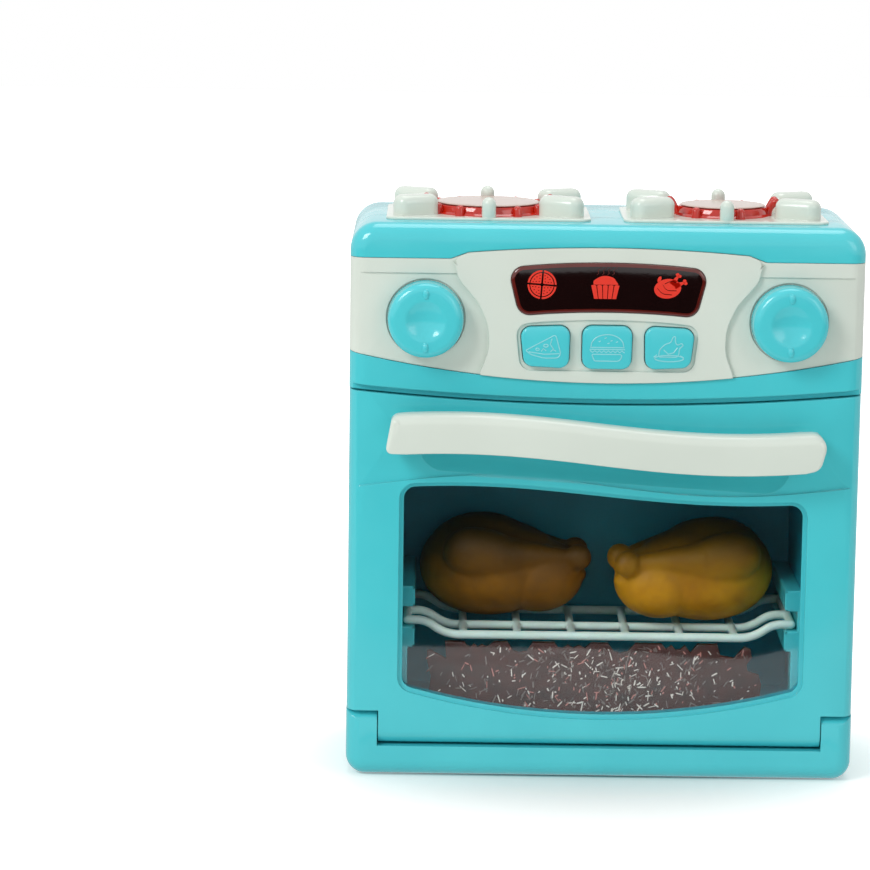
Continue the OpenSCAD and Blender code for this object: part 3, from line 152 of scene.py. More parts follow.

# %% [markdown]
# ## Clear and milky polystyrene
# The window, the lens, the flames and the ember sheet are polystyrene, clearer and harder than ABS. The window is
# clear; the oven looks dark because it is deep, and its liner's darker turquoise is painted shade. Cycles would
# keep lamp light out of glass, so rays that go to a lamp pass a plain tinted Transparent shader instead.
# %% Polystyrene materials
POLYSTYRENE_IOR = 1.59


def clear_polystyrene(name, tint, roughness=0.03):
    """Clear tinted polystyrene that also lets lamp light through."""
    material = empty_material(name)
    tree = material.node_tree
    place = add(tree, "TexCoord").outputs["Object"]
    ripple = add(tree, "TexNoise", {"Vector": place, "Scale": per_mm(30), "Detail": 1.0})
    bump = add(tree, "Bump", {"Height": ripple.outputs["Fac"], "Strength": 0.05, "Distance": 0.3 * MM})
    glass = add(tree, "BsdfPrincipled", {"Base Color": linear(tint), "Roughness": roughness, "IOR": POLYSTYRENE_IOR,
                                         "Transmission Weight": 1.0, "Normal": bump.outputs["Normal"]})
    passing = add(tree, "BsdfTransparent", {"Color": linear(tint)})
    path = add(tree, "LightPath")
    both = add(tree, "MixShader", {"Fac": path.outputs["Is Shadow Ray"], 1: glass.outputs["BSDF"],
                                   2: passing.outputs["BSDF"]})
    add(tree, "OutputMaterial", {"Surface": both.outputs["Shader"]})
    return material


def tinted_polystyrene(name, colour, deep_colour, transmission, roughness=0.12, glow=0.0, peel=0.1):
    """Coloured polystyrene that is part clear and part milky."""
    material = empty_material(name)
    tree = material.node_tree
    place = add(tree, "TexCoord").outputs["Object"]
    cloud = add(tree, "TexNoise", {"Vector": place, "Scale": per_mm(6), "Detail": 3.0})
    mix = add(tree, "MixRGB", {"Fac": cloud.outputs["Fac"], "Color1": linear(colour), "Color2": linear(deep_colour)})
    skin = add(tree, "TexNoise", {"Vector": place, "Scale": per_mm(2.2), "Detail": 2.0})
    bump = add(tree, "Bump", {"Height": skin.outputs["Fac"], "Strength": peel, "Distance": 0.2 * MM})
    shader = add(tree, "BsdfPrincipled", {"Base Color": mix.outputs["Color"], "Roughness": roughness,
                                          "IOR": POLYSTYRENE_IOR, "Transmission Weight": transmission,
                                          "Normal": bump.outputs["Normal"], "Emission Color": linear(colour),
                                          "Emission Strength": glow})
    add(tree, "OutputMaterial", {"Surface": shader.outputs["BSDF"]})
    return material


PANE = clear_polystyrene("clear polystyrene, window", "#f3f8f8")
LENS = tinted_polystyrene("dark red polystyrene, lens", "#180707", "#120505", 0.0, roughness=0.05, peel=0.02)
LENS_RIM = tinted_polystyrene("dark red polystyrene, lens edge", "#6a2018", "#4a130e", 0.0, roughness=0.08, peel=0.02)
FLAME = tinted_polystyrene("red clear polystyrene, flames", "#d8260e", "#b41a0a", 0.2, roughness=0.06, glow=0.06)
CAP = tinted_polystyrene("milky polystyrene, burner caps", "#d3beb2", "#ccb6aa", 0.1, roughness=0.22)
EMBER = tinted_polystyrene("dark red polystyrene, embers", "#5a221b", "#241510", 0.0, roughness=0.25, peel=0.06)
PRINT = tinted_polystyrene("red translucent print", "#e0301a", "#d42814", 0.0, roughness=0.3, glow=0.12)
FAINT_PRINT = tinted_polystyrene("faint red print", "#5a1c16", "#4c1712", 0.0, roughness=0.3)
# Painted glints: pale chips, the white and pink ones glowing a little, stand for highlights on the ember sheet's
# facets.
PAINTED_GLINT = tinted_polystyrene("painted glints, white", "#ece2da", "#c0b4ac", 0.0, roughness=0.2, glow=0.16)
PAINTED_PINK_GLINT = tinted_polystyrene("painted glints, pink", "#d08880", "#a8645c", 0.0, roughness=0.2, glow=0.1)
PAINTED_DULL_GLINT = tinted_polystyrene("painted glints, dull", "#82706a", "#645550", 0.0, roughness=0.3, glow=0.0)
# The raised lines are coloured paler than the buttons: a painted highlight for the sky that they catch.
LINE = tinted_polystyrene("raised line, paler for painted highlight", "#8fd8de", "#84d2d9", 0.0, roughness=0.3)

# %% [markdown]
# ## The other finishes
# Rotomoulded vinyl for the birds has a soft, greasy sheen and darker browned patches. Screws and contacts are
# nickel plated, with fine turning marks. The board is glass-epoxy laminate, the keypad silicone rubber, and the
# cells wear a plain foil wrap.
# %% Vinyl, rubber, metal and board


def patched(name, colours, spacing, roughness, bump_strength, bump_spacing, metallic=0.0, ior=1.5, sheen=0.0,
            subsurface=0.0):
    """A surface of two colours in soft patches, with a bump of its own spacing."""
    material = empty_material(name)
    tree = material.node_tree
    place = add(tree, "TexCoord").outputs["Object"]
    patch = add(tree, "TexNoise", {"Vector": place, "Scale": per_mm(spacing), "Detail": 5.0, "Roughness": 0.6})
    ramp = add(tree, "MapRange", {"Value": patch.outputs["Fac"], "From Min": 0.35, "From Max": 0.65})
    mix = add(tree, "MixRGB", {"Fac": ramp.outputs["Result"], "Color1": linear(colours[0]),
                               "Color2": linear(colours[1])})
    grain = add(tree, "TexNoise", {"Vector": place, "Scale": per_mm(bump_spacing), "Detail": 4.0})
    bump = add(tree, "Bump", {"Height": grain.outputs["Fac"], "Strength": bump_strength, "Distance": 0.3 * MM})
    gloss = add(tree, "MapRange", {"Value": grain.outputs["Fac"], "To Min": roughness - 0.06,
                                   "To Max": roughness + 0.1})
    shader = add(tree, "BsdfPrincipled", {"Base Color": mix.outputs["Color"], "Roughness": gloss.outputs["Result"],
                                          "Normal": bump.outputs["Normal"], "Metallic": metallic, "IOR": ior,
                                          "Sheen Weight": sheen, "Subsurface Weight": subsurface,
                                          "Subsurface Scale": 1.5 * MM})
    add(tree, "OutputMaterial", {"Surface": shader.outputs["BSDF"]})
    return material


RACK = patched("polypropylene, pale green-white", ("#e4f2ea", "#dae9e1"), 14, 0.3, 0.08, 1.2, subsurface=0.15)


def roast_vinyl(name, colours, painted_shade_colour):
    """Vinyl in roast colours with painted shade: dark and greenish towards the top of the bird, which lies in shadow.
    """
    material = patched(name, colours, 18, 0.5, 0.2, 1.6, ior=1.35)
    tree = material.node_tree
    shader = next(node for node in tree.nodes if node.type == "BSDF_PRINCIPLED")
    pigment = shader.inputs["Base Color"].links[0].from_socket
    height = add(tree, "SeparateXYZ", {"Vector": add(tree, "TexCoord").outputs["Object"]}).outputs["Z"]
    # Painted shade: the colour darkens with height, where the top of the bird lies in shadow.
    top_shade = add(tree, "MapRange", {"Value": height, "From Min": (FOOD_Z + 12) * MM, "From Max": (FOOD_Z + 40) * MM,
                                   "To Max": 0.9}, interpolation_type="SMOOTHSTEP")
    shaded_top = add(tree, "MixRGB", {"Fac": top_shade.outputs["Result"], "Color1": pigment, "Color2": linear(painted_shade_colour)})
    tree.links.new(shaded_top.outputs["Color"], shader.inputs["Base Color"])
    return material


FOOD_Z = 58.6
# One vinyl in two copies: the left bird's darker colours are painted shade, the right bird's brighter ones painted
# light.
ROAST = {"left": roast_vinyl("rotomoulded vinyl, left bird, darker for painted shade", ("#9c6208", "#7c4c06"), "#3c2b06"),
         "right": roast_vinyl("rotomoulded vinyl, right bird, brighter for painted light", ("#e09a10", "#bc780a"), "#4c3806")}
NICKEL = patched("nickel plated steel, turned", ("#b9bdc0", "#a7abae"), 3, 0.3, 0.1, 0.6, metallic=1.0)
BOARD = patched("glass-epoxy board, green", ("#1f6b3a", "#2a7a46"), 4, 0.4, 0.15, 0.7)
SILICONE = patched("silicone rubber, grey", ("#c4c8cb", "#b9bdc1"), 8, 0.55, 0.1, 0.9)
FOIL = patched("cell foil wrap, plain", ("#6d7276", "#85898d"), 12, 0.3, 0.05, 2.0)
print("materials made:", len(bpy.data.materials))

# %% [markdown]
# ## Edges that catch the light
# A mould has no sharp corners, and the thin bright line along each edge is what makes a moulded piece look real.
# The large shells have real 7 mm roundings already, and the Bevel node in their ABS softens the fine edges in the
# shading. The small plain solids get a real Bevel. Weld joins the split corners first, and the meshes stay as they
# are underneath.
# %% Rounded edges and finishes for the solids


def dress(node, material, width=0.0):
    """Gives a solid its material; a width in mm rounds its edges, and without one they are only kept crisp."""
    piece = NODES[node]
    piece.data.materials.clear()
    piece.data.materials.append(material)
    piece.data.shade_smooth()
    piece.modifiers.new("Weld", "WELD").merge_threshold = 0.001 * MM
    if width == 0:
        piece.modifiers.new("Crisp edges", "EDGE_SPLIT").split_angle = math.radians(32)
        return
    bevel = piece.modifiers.new("Rounded edges", "BEVEL")
    bevel.width = width * MM
    bevel.segments = 3
    bevel.limit_method = "ANGLE"
    bevel.angle_limit = math.radians(32)
    bevel.use_clamp_overlap = False
    normals = piece.modifiers.new("Flat faces stay flat", "WEIGHTED_NORMAL")
    normals.keep_sharp = False
    normals.weight = 80


DRESSED = {
    TURQUOISE: {"front_shell": 0, "rear_shell": 0, "door_frame": 0, "battery_door": 0},
    TURQUOISE_SHADED_INNER: {"cavity_liner": 0, "door_inner_frame": 0},
    TURQUOISE_TRIM: {"rack_rail_left": 0.6, "rack_rail_right": 0.6},
    IVORY: {"control_panel": 0, "power_slider": 0.2},
    BLACK: {"battery_box": 0.3, "speaker": 0.3, "power_switch": 0.2},
    NICKEL: {"knob_retainer_left": 0.1, "knob_retainer_right": 0.1, "handle_screws": 0.1, "door_screws": 0.1,
             "case_screws": 0.1, "panel_screws": 0.1, "board_screws": 0.1, "battery_screw": 0.1,
             "battery_contacts": 0.05},
    BOARD: {"circuit_board": 0.1, "burner_lamps": 0.05, "fire_lamp": 0.05},
    SILICONE: {"keypad": 0.2},
    FOIL: {"batteries": 0.3},
    FLAME: {"indicator_leds": 0.1},
    PANE: {"door_pane": 0.2},
}
for finish, widths in DRESSED.items():
    for node, width in widths.items():
        dress(node, finish, width)
print("solids dressed:", sum(len(widths) for widths in DRESSED.values()), "of", len(NODES))


# %% [markdown]
# ## Forms in millimetres
# The soft and fine pieces are drawn as lists of points and faces, in millimetres: across, behind the front plane, and
# above the table. Small functions make the shapes that keep coming back: a plate with a soft rim, a turned form, a
# round bar along a path, and an egg. A form is a triple of points, faces and the finish of each face.
# %% Form helpers


def joined(*forms):
    """One form from several."""
    points, faces, finishes = [], [], []
    for form in forms:
        start = len(points)
        points += form[0]
        faces += [[start + i for i in face] for face in form[1]]
        finishes += form[2]
    return points, faces, finishes


def in_finish(form, finish):
    """The same form in another of the piece's finishes."""
    return form[0], form[1], [finish] * len(form[1])


def ring_faces(rings, count, closed=True):
    """Quads between rings of equally many points."""
    last = count if closed else count - 1
    return [[r * count + i, r * count + (i + 1) % count, (r + 1) * count + (i + 1) % count, (r + 1) * count + i]
            for r in range(rings - 1) for i in range(last)]


def outward(outline):
    """Outward unit normals of a counter-clockwise outline."""
    normals = []
    for i, here in enumerate(outline):
        before = Vector(outline[i - 1])
        after = Vector(outline[(i + 1) % len(outline)])
        run = (after - before).normalized()
        normals.append(Vector((run.y, -run.x)))
    return normals


def cushioned(outline, front, back, rim, ratio=1.0, steps=6, rim_finish=0):
    """A plate with a rounded front rim; rim is a radius, or a function of the outward normal."""
    normals = outward(outline)
    radii = [rim(normal) if callable(rim) else rim for normal in normals]
    points = [(x, back, z) for x, z in outline]
    for step in range(steps + 1):
        turn = math.pi / 2 * step / steps
        for (x, z), normal, radius in zip(outline, normals, radii):
            inset = radius * (1 - math.cos(turn))
            points.append((x - normal.x * inset, front + radius * ratio * (1 - math.sin(turn)), z - normal.y * inset))
    count = len(outline)
    faces = ring_faces(steps + 2, count)
    finishes = [rim_finish] * len(faces)
    faces += [list(range(count))[::-1], [(steps + 1) * count + i for i in range(count)]]
    return points, faces, finishes + [0, 0]


def turned(profile, centre, upright=False, sides=96):
    """A form turned about an axis through centre; profile is [(radius, distance along)]."""
    points, faces, starts = [], [], []
    for radius, along in profile:
        starts.append(len(points))
        for i in range(sides if radius > 0 else 1):
            angle = 2 * math.pi * i / sides
            across, other = radius * math.cos(angle), radius * math.sin(angle)
            shift = (across, other, along) if upright else (across, along, other)
            points.append(tuple(c + s for c, s in zip(centre, shift)))
    for k in range(len(profile) - 1):
        low, high = starts[k], starts[k + 1]
        for i in range(sides):
            j = (i + 1) % sides
            pair_low = [low] if profile[k][0] <= 0 else [low + i, low + j]
            pair_high = [high] if profile[k + 1][0] <= 0 else [high + j, high + i]
            if len(pair_low) + len(pair_high) > 2:
                faces.append(pair_low + pair_high)
    return points, faces, [0] * len(faces)


def bar(path, radius, sides=14, dome=4):
    """A round bar along a path, with domed ends; radius is a number or one for each point."""
    spots = [Vector(p) for p in path]
    radii = list(radius) if isinstance(radius, (list, tuple)) else [radius] * len(spots)
    first, last = (spots[0] - spots[1]).normalized(), (spots[-1] - spots[-2]).normalized()
    caps = [math.pi / 2 * k / (dome + 0.5) for k in range(1, dome + 1)]
    start_r, end_r = radii[0], radii[-1]
    spots = ([spots[0] + first * start_r * math.sin(a) for a in reversed(caps)] + spots
             + [spots[-1] + last * end_r * math.sin(a) for a in caps])
    radii = [start_r * math.cos(a) for a in reversed(caps)] + radii + [end_r * math.cos(a) for a in caps]
    points = []
    side = None
    for i, spot in enumerate(spots):
        run = (spots[min(i + 1, len(spots) - 1)] - spots[max(i - 1, 0)]).normalized()
        if side is None:
            side = run.orthogonal().normalized()
        side = (side - run * side.dot(run)).normalized()
        other = run.cross(side)
        points += [tuple(spot + (side * math.cos(a) + other * math.sin(a)) * radii[i])
                   for a in (2 * math.pi * k / sides for k in range(sides))]
    faces = ring_faces(len(spots), sides)
    faces += [list(range(sides))[::-1], [(len(spots) - 1) * sides + k for k in range(sides)]]
    return points, faces, [0] * len(faces)


def egg(centre, radii, lean=0.0, turn=(0, 0, 0), rings=20, sides=32):
    """An egg with its long axis along x before it is turned; lean makes the -x end blunter."""
    spin = Euler([math.radians(a) for a in turn]).to_matrix()
    points = []
    for i in range(rings + 1):
        polar = math.pi * i / rings
        swell = math.sin(polar) * (1 - lean * math.cos(polar))
        for k in range(sides if 0 < i < rings else 1):
            around = 2 * math.pi * k / sides
            spot = Vector((radii[0] * math.cos(polar), radii[1] * swell * math.cos(around),
                           radii[2] * swell * math.sin(around)))
            points.append(tuple(Vector(centre) + spin @ spot))
    faces = []
    for k in range(sides):
        j = (k + 1) % sides
        faces.append([0, 1 + j, 1 + k])
        faces.append([len(points) - 1, len(points) - 1 - sides + k, len(points) - 1 - sides + j])
    for i in range(rings - 2):
        for k in range(sides):
            j = (k + 1) % sides
            low, high = 1 + i * sides, 1 + (i + 1) * sides
            faces.append([low + k, low + j, high + j, high + k])
    return points, faces, [0] * len(faces)


def rounded_path(corners, radius, steps=6):
    """A path whose corners are rounded; works for points of two or three numbers."""
    spots = [Vector(p) for p in corners]
    path = [spots[0]]
    for before, corner, after in zip(spots, spots[1:], spots[2:]):
        cut = min(radius, (before - corner).length / 2, (after - corner).length / 2)
        start, end = corner + (before - corner).normalized() * cut, corner + (after - corner).normalized() * cut
        for k in range(steps + 1):
            t = k / steps
            path.append(start * (1 - t) ** 2 + corner * 2 * t * (1 - t) + end * t ** 2)
    return path + [spots[-1]]


def rounded_outline(corners, radius, steps=6):
    """A closed outline with every corner rounded."""
    middle = [(a + b) / 2 for a, b in zip(corners[-1], corners[0])]
    return [tuple(p) for p in rounded_path([middle] + list(corners) + [middle], radius, steps)[:-1]]


def piece(name, form, finishes, body, hides=(), sharp=35):
    """Builds a form as a mesh object that rides on a body and stands for the nodes it hides."""
    points, faces, numbers = form
    mesh = bpy.data.meshes.new(name)
    mesh.from_pydata([(x * MM, FRONT + depth * MM, z * MM) for x, depth, z in points], [], faces)
    for finish in finishes:
        mesh.materials.append(finish)
    mesh.polygons.foreach_set("material_index", numbers)
    shape = bmesh.new()
    shape.from_mesh(mesh)
    bmesh.ops.recalc_face_normals(shape, faces=shape.faces)
    shape.to_mesh(mesh)
    shape.free()
    mesh.shade_smooth()
    mesh.set_sharp_from_angle(angle=math.radians(sharp))
    thing = bpy.data.objects.new(name, mesh)
    bpy.context.scene.collection.objects.link(thing)
    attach(thing, body)
    if hides:
        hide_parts(*hides)
    return thing


def front_loop(node):
    """Outline of a solid's frontmost flat face, counter-clockwise, as (x, z) in millimetres."""
    shape = bmesh.new()
    shape.from_mesh(NODES[node].data)
    bmesh.ops.remove_doubles(shape, verts=shape.verts, dist=0.001 * MM)
    foremost = min(vert.co.y for vert in shape.verts)
    flat = {face for face in shape.faces if all(abs(vert.co.y - foremost) < 0.005 * MM for vert in face.verts)}
    rim = [edge for face in flat for edge in face.edges if sum(f in flat for f in edge.link_faces) == 1]
    neighbours = {}
    for edge in rim:
        for vert in edge.verts:
            neighbours.setdefault(vert, []).append(edge.other_vert(vert))
    start = min(neighbours, key=lambda vert: vert.co.x)
    loop, before, here = [start], None, start
    while True:
        options = [vert for vert in neighbours[here] if vert is not before]
        before, here = here, options[0]
        if here is start:
            break
        loop.append(here)
    outline = [(vert.co.x / MM, vert.co.z / MM) for vert in loop]
    shape.free()
    area = sum(a[0] * b[1] - b[0] * a[1] for a, b in zip(outline, outline[1:] + outline[:1]))
    return outline if area > 0 else outline[::-1]


print("form helpers ready")

# %% [markdown]
# ## Knobs
# A toy knob is one turned shape: a broad soft rim where the hand grips it, a flat face, and a dish for the
# fingertip. Two raised ovals show which way it points. The dish's lip is what makes the pair of small highlights.
# %% Knobs
KNOB_RADIUS = 15.6
KNOB_REACH = 10.0
DISH_RADIUS = 8.0
DISH_DEEP = 2.4
MARK_OUT = 10.9
MARK_HALF = (1.25, 1.0, 2.1)


def knob_form(centre_x, centre_z):
    """The knob with its dish, rim, shaft and two marks."""
    dish = [(DISH_RADIUS * math.sin(t) / math.sin(0.44), -KNOB_REACH + DISH_DEEP
             - DISH_DEEP * (1 - math.cos(t)) / (1 - math.cos(0.44))) for t in np.linspace(0, 0.4, 9)]
    lip = [(DISH_RADIUS - 0.1, -KNOB_REACH + 0.14), (DISH_RADIUS + 0.4, -KNOB_REACH + 0.03), (DISH_RADIUS + 1.1, -KNOB_REACH)]
    face = [(KNOB_RADIUS - 3.6, -KNOB_REACH)]
    rim = [(KNOB_RADIUS - 0.35 - 3.2 * (1 - math.sin(t)), -KNOB_REACH + 2.9 * (1 - math.cos(t)))
           for t in np.linspace(0.12, math.pi / 2, 10)]
    skirt = [(KNOB_RADIUS, 0.2), (KNOB_RADIUS - 0.3, 0.4), (6.0, 0.4), (6.0, 1.0), (3.0, 1.0), (3.0, 8.2), (0, 8.2)]
    profile = [(max(radius, 0), along) for radius, along in dish + lip + face + rim + skirt]
    marks = [egg((centre_x, -KNOB_REACH + 0.1, centre_z + side * MARK_OUT), MARK_HALF, rings=12, sides=24)
             for side in (-1, 1)]
    return joined(turned(profile, (centre_x, 0, centre_z)), *marks)


for side in ("left", "right"):
    knob_centre = box_centre("knob_" + side) / MM
    piece("knob_" + side + "_soft", knob_form(knob_centre.x, knob_centre.z), [TURQUOISE_TRIM], "knob_" + side,
          hides=["knob_" + side])
print("knobs turned:", 2, "of", KNOB_RADIUS * 2, "mm")

# %% [markdown]
# ## Display
# The lens is dark red polystyrene printed black behind, all but its thick rounded edge, so the edge glows brown.
# The pictograms are windows in that print, lit red from behind: a round cut in four, a cup cake and a roast bird.
# %% Lens and pictograms
LENS_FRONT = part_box("display_lens")[0].y / MM - FRONT / MM
lens_outline = front_loop("display_lens")
lens = cushioned(lens_outline, LENS_FRONT, 2.6, 1.5, ratio=0.6, rim_finish=1)
piece("display_lens_soft", lens, [LENS, LENS_RIM], "oven", hides=["display_lens"])
PRINT_FRONT = LENS_FRONT - 0.05
ICON_Z = 206.6
ICON_X = (-27.0, -1.3, 25.2)


def slip(outline, front, thick=0.1):
    """A very thin plate, for a printed or inlaid shape."""
    if sum(a[0] * b[1] - b[0] * a[1] for a, b in zip(outline, outline[1:] + outline[:1])) < 0:
        outline = outline[::-1]
    count = len(outline)
    points = [(x, depth, z) for depth in (front + thick, front) for x, z in outline]
    faces = ring_faces(2, count) + [list(range(count))[::-1], [count + i for i in range(count)]]
    return points, faces, [0] * len(faces)


def moved(outline, x, z, scale=1.0, turn=0.0):
    """An outline scaled, turned and moved."""
    c, s = math.cos(math.radians(turn)), math.sin(math.radians(turn))
    return [(x + scale * (a * c - b * s), z + scale * (a * s + b * c)) for a, b in outline]


def sector(inner, outer, start, end, gap, steps=10):
    """A slice of a ring between two angles, kept back by a gap from its two straight sides."""
    points = []
    for radius, sense in ((outer, 1), (inner, -1)):
        spare = math.degrees(math.asin(min(0.9, gap / radius)))
        angles = np.linspace(start + spare, end - spare, steps)[::sense]
        points += [(radius * math.cos(math.radians(a)), radius * math.sin(math.radians(a))) for a in angles]
    return points


def oval(half_x, half_z, x=0.0, z=0.0, sides=20, turn=0.0):
    """An ellipse."""
    return moved([(half_x * math.cos(2 * math.pi * k / sides), half_z * math.sin(2 * math.pi * k / sides))
                  for k in range(sides)], x, z, turn=turn)


red, dark, faint = [], [], []
for quarter in range(4):
    start = quarter * 90 - 4
    red.append(moved(sector(5.15, 5.9, start, start + 90, 0.36), ICON_X[0], ICON_Z))
    red.append(moved(sector(0.75, 4.75, start, start + 90, 0.36), ICON_X[0], ICON_Z))
    for radius, along in ((1.7, 45), (2.7, 24), (2.7, 66), (3.8, 16), (3.8, 38), (3.8, 58), (3.8, 76)):
        angle = math.radians(start + along)
        dark.append(oval(0.24, 0.2, ICON_X[0] + radius * math.cos(angle), ICON_Z + radius * math.sin(angle), 8))

dome = [(5.0 * math.cos(t) * (1 + 0.05 * math.cos(7 * t)), 0.5 + 3.6 * math.sin(t)) for t in np.linspace(0, math.pi, 26)]
red.append(moved(dome, ICON_X[1], ICON_Z - 0.2))
for pleat in range(5):
    left, right = -1 + 0.4 * pleat, -1 + 0.4 * (pleat + 1)
    crown = [(5.9 * t, 0.05 + 0.35 * math.sin(math.pi * (t - left) / (right - left)))
             for t in np.linspace(left + 0.03, right - 0.03, 7)]
    red.append(moved([(4.6 * (left + 0.03), -5.3), (4.6 * (right - 0.03), -5.3)] + crown[::-1], ICON_X[1], ICON_Z - 0.2))
for wisp in range(4):
    curl = [(-3.6 + 2.1 * wisp + 0.28 * k + 0.45 * math.sin(k * 1.25), 4.5 + 0.52 * k) for k in range(7)]
    strip = [(x - 0.16, z) for x, z in curl] + [(x + 0.16, z) for x, z in reversed(curl)]
    faint.append(moved(strip, ICON_X[1], ICON_Z - 0.3))

red.append(oval(5.5, 4.0, ICON_X[2] - 1.2, ICON_Z - 1.0, 40, turn=8))
for turn, x, z in ((22, 4.6, 1.6), (55, 2.6, 3.4)):
    bone = [(-2.6, -1.3), (1.6, -0.4), (1.6, 0.4), (-2.6, 1.3)]
    red.append(moved(bone, ICON_X[2] + x - 0.6, ICON_Z + z - 0.6, turn=turn))
    for knuckle in (-0.55, 0.55):
        end = moved([(2.0, knuckle)], ICON_X[2] + x - 0.6, ICON_Z + z - 0.6, turn=turn)[0]
        red.append(oval(0.75, 0.65, end[0], end[1], 14))
red.append(oval(1.3, 0.7, ICON_X[2] - 4.6, ICON_Z + 2.8, 16, turn=65))
for start, bend, end in (((-3.2, 0.6), (-1.6, -1.8), (2.4, -1.8)), ((-5.4, -0.8), (-3.4, -3.2), (0.6, -3.5)),
                         ((-2.4, 0.9), (0.2, 2.3), (2.2, 1.5))):
    line = rounded_path([start, bend, end], 2.4)
    strip = [(x, z - 0.14) for x, z in line] + [(x, z + 0.14) for x, z in reversed(line)]
    dark.append(moved(strip, ICON_X[2], ICON_Z))
prints = [slip(outline, PRINT_FRONT) for outline in red]
prints += [in_finish(slip(outline, PRINT_FRONT - 0.02), 1) for outline in dark]
prints += [in_finish(slip(outline, PRINT_FRONT), 2) for outline in faint]
piece("display_print", joined(*prints), [PRINT, LENS, FAINT_PRINT], "oven", hides=["display_icons"])
print("display shapes:", len(prints))

# %% [markdown]
# ## Raised lines on the push buttons
# Each button carries a food drawing in thin raised lines, which the mould cuts as fine grooves: a slice, a burger
# and a bird on its plate. Their paler colour is a painted highlight for the sky that the polished lines catch.
# %% Buttons and their drawings
LINE_RADIUS = 0.27


def line_drawing(side, strokes):
    """Thin raised lines on a button, given in millimetres from its middle."""
    node = "button_" + side
    low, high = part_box(node)
    loop = front_loop(node)
    cap = cushioned(loop, (low.y - FRONT) / MM, (low.y - FRONT) / MM + 7, 1.0)
    piece(node + "_soft", cap, [TURQUOISE_TRIM], node, hides=[node])
    x = (min(p[0] for p in loop) + max(p[0] for p in loop)) / 2
    z = (min(p[1] for p in loop) + max(p[1] for p in loop)) / 2
    front = (low.y - FRONT) / MM
    bars = [bar([(x + a, front + 0.1, z + b) for a, b in stroke], LINE_RADIUS, sides=8, dome=2) for stroke in strokes]
    return piece("drawing_" + side, joined(*bars), [LINE], node)


def loop_of(outline):
    """A closed stroke."""
    return list(outline) + [outline[0]]


slice_edge = rounded_outline([(-8.0, -1.4), (4.1, 5.2), (6.3, -2.6), (5.2, -4.4), (-0.5, -4.5), (-5.9, -3.1)], 1.2)
line_drawing("left", [loop_of(slice_edge), [(-6.6, -2.0), (-0.4, -2.9), (5.5, -2.6)], [(2.6, 3.4), (2.0, 1.2), (3.2, -0.6)],
                      loop_of(oval(0.9, 0.6, 0.2, 0.6, 12)), loop_of(oval(0.7, 0.5, -3.2, -0.9, 12)),
                      [(-1.6, -1.6), (-0.8, -0.6), (0.2, -1.4)], [(2.2, -1.8), (3.0, -0.9), (4.2, -1.5)]])
bun = [(6.6 * math.cos(t), 0.8 + 4.7 * math.sin(t)) for t in np.linspace(0, math.pi, 22)]
wave_line = [(-6.9 + 0.92 * k, -1.5 + 0.35 * (-1) ** k) for k in range(16)]
foot = rounded_outline([(-6.3, -2.6), (6.3, -2.6), (5.2, -5.4), (-5.2, -5.4)], 1.6)
line_drawing("centre", [bun + [(-7.0, 0.2), (7.0, 0.2), (6.6, 0.8)], [(-7.0, -0.6), (7.0, -0.6)], wave_line, loop_of(foot)]
             + [[(x, z), (x + 0.5, z + 0.2)] for x, z in ((-3.4, 2.6), (-1.0, 4.0), (1.4, 2.9), (3.6, 2.4), (0.2, 1.8))])
plate = oval(5.9, 1.3, 0.0, -4.0, 26)
bird = rounded_outline([(-4.4, -3.4), (-4.0, -0.4), (-1.8, 1.8), (0.6, 2.6), (1.4, 4.9), (2.4, 5.1), (2.3, 3.1), (3.0, 1.4),
                        (5.0, 2.3), (5.6, 1.4), (4.0, 0.1), (3.9, -2.2), (3.2, -3.4)], 0.9)
line_drawing("right", [loop_of(plate), loop_of(bird), [(-2.2, -0.6), (-0.4, -2.2), (1.8, -1.6), (3.2, 0.4)],
                       [(-5.2, -2.6), (-6.2, -3.4)], [(4.6, -2.9), (5.8, -3.6)]])

# %% [markdown]
# ## Handle
# The handle is a long wave with a broad round top edge, where the fingers pull, and a crisp lower edge. So its rim
# radius changes with the way that the edge faces: large upwards, small downwards and middling at the ends.
# %% Handle
handle_low, handle_high = (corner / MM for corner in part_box("door_handle"))
HANDLE_REACH = 16.0
HANDLE_THICK = 7.5
HANDLE_HALF = 89.0
HANDLE_H = 16.4
HANDLE_MID = 150.7
FOOT_LEN = 11.0


def handle_top(x):
    """Height of the handle's top edge."""
    if x < 0:
        return HANDLE_MID + 4.4 * math.sin(math.pi / 2 * -x / 62)
    return HANDLE_MID - 3.3 * math.sin(math.pi / 2 * x / 51)


def handle_outline():
    """The front view of the handle."""
    half, low = HANDLE_HALF, HANDLE_H
    left_foot = (-half - 0.8, handle_top(-half) - low + 0.6)
    left_top = (2 - half, handle_top(3 - half) - 0.3)
    right_top = (half - 3, handle_top(half - 3) - 0.3)
    right_end = (half + 0.8, handle_top(half) - 5.6)
    right_foot = (half - 2, handle_top(half) - low + 0.8)
    top = [(x, handle_top(x)) for x in np.linspace(8 - half, half - 12, 60)]
    bottom = [(x, handle_top(x) - low) for x in np.linspace(half - 8, 8 - half, 60)]
    right = rounded_path([top[-1], right_top, right_end, right_foot, bottom[0]], 4.2, 9)[1:-1]
    left = rounded_path([bottom[-1], left_foot, left_top, top[0]], 3.2, 9)[1:-1]
    return [tuple(p) for p in top + right + bottom + left][::-1]


def handle_rim(normal):
    """Large above, crisp below, middling at the ends."""
    up = max(0.0, normal.y)
    down = max(0.0, -normal.y)
    return 1.6 + 2.9 * up ** 1.5 - 0.9 * down


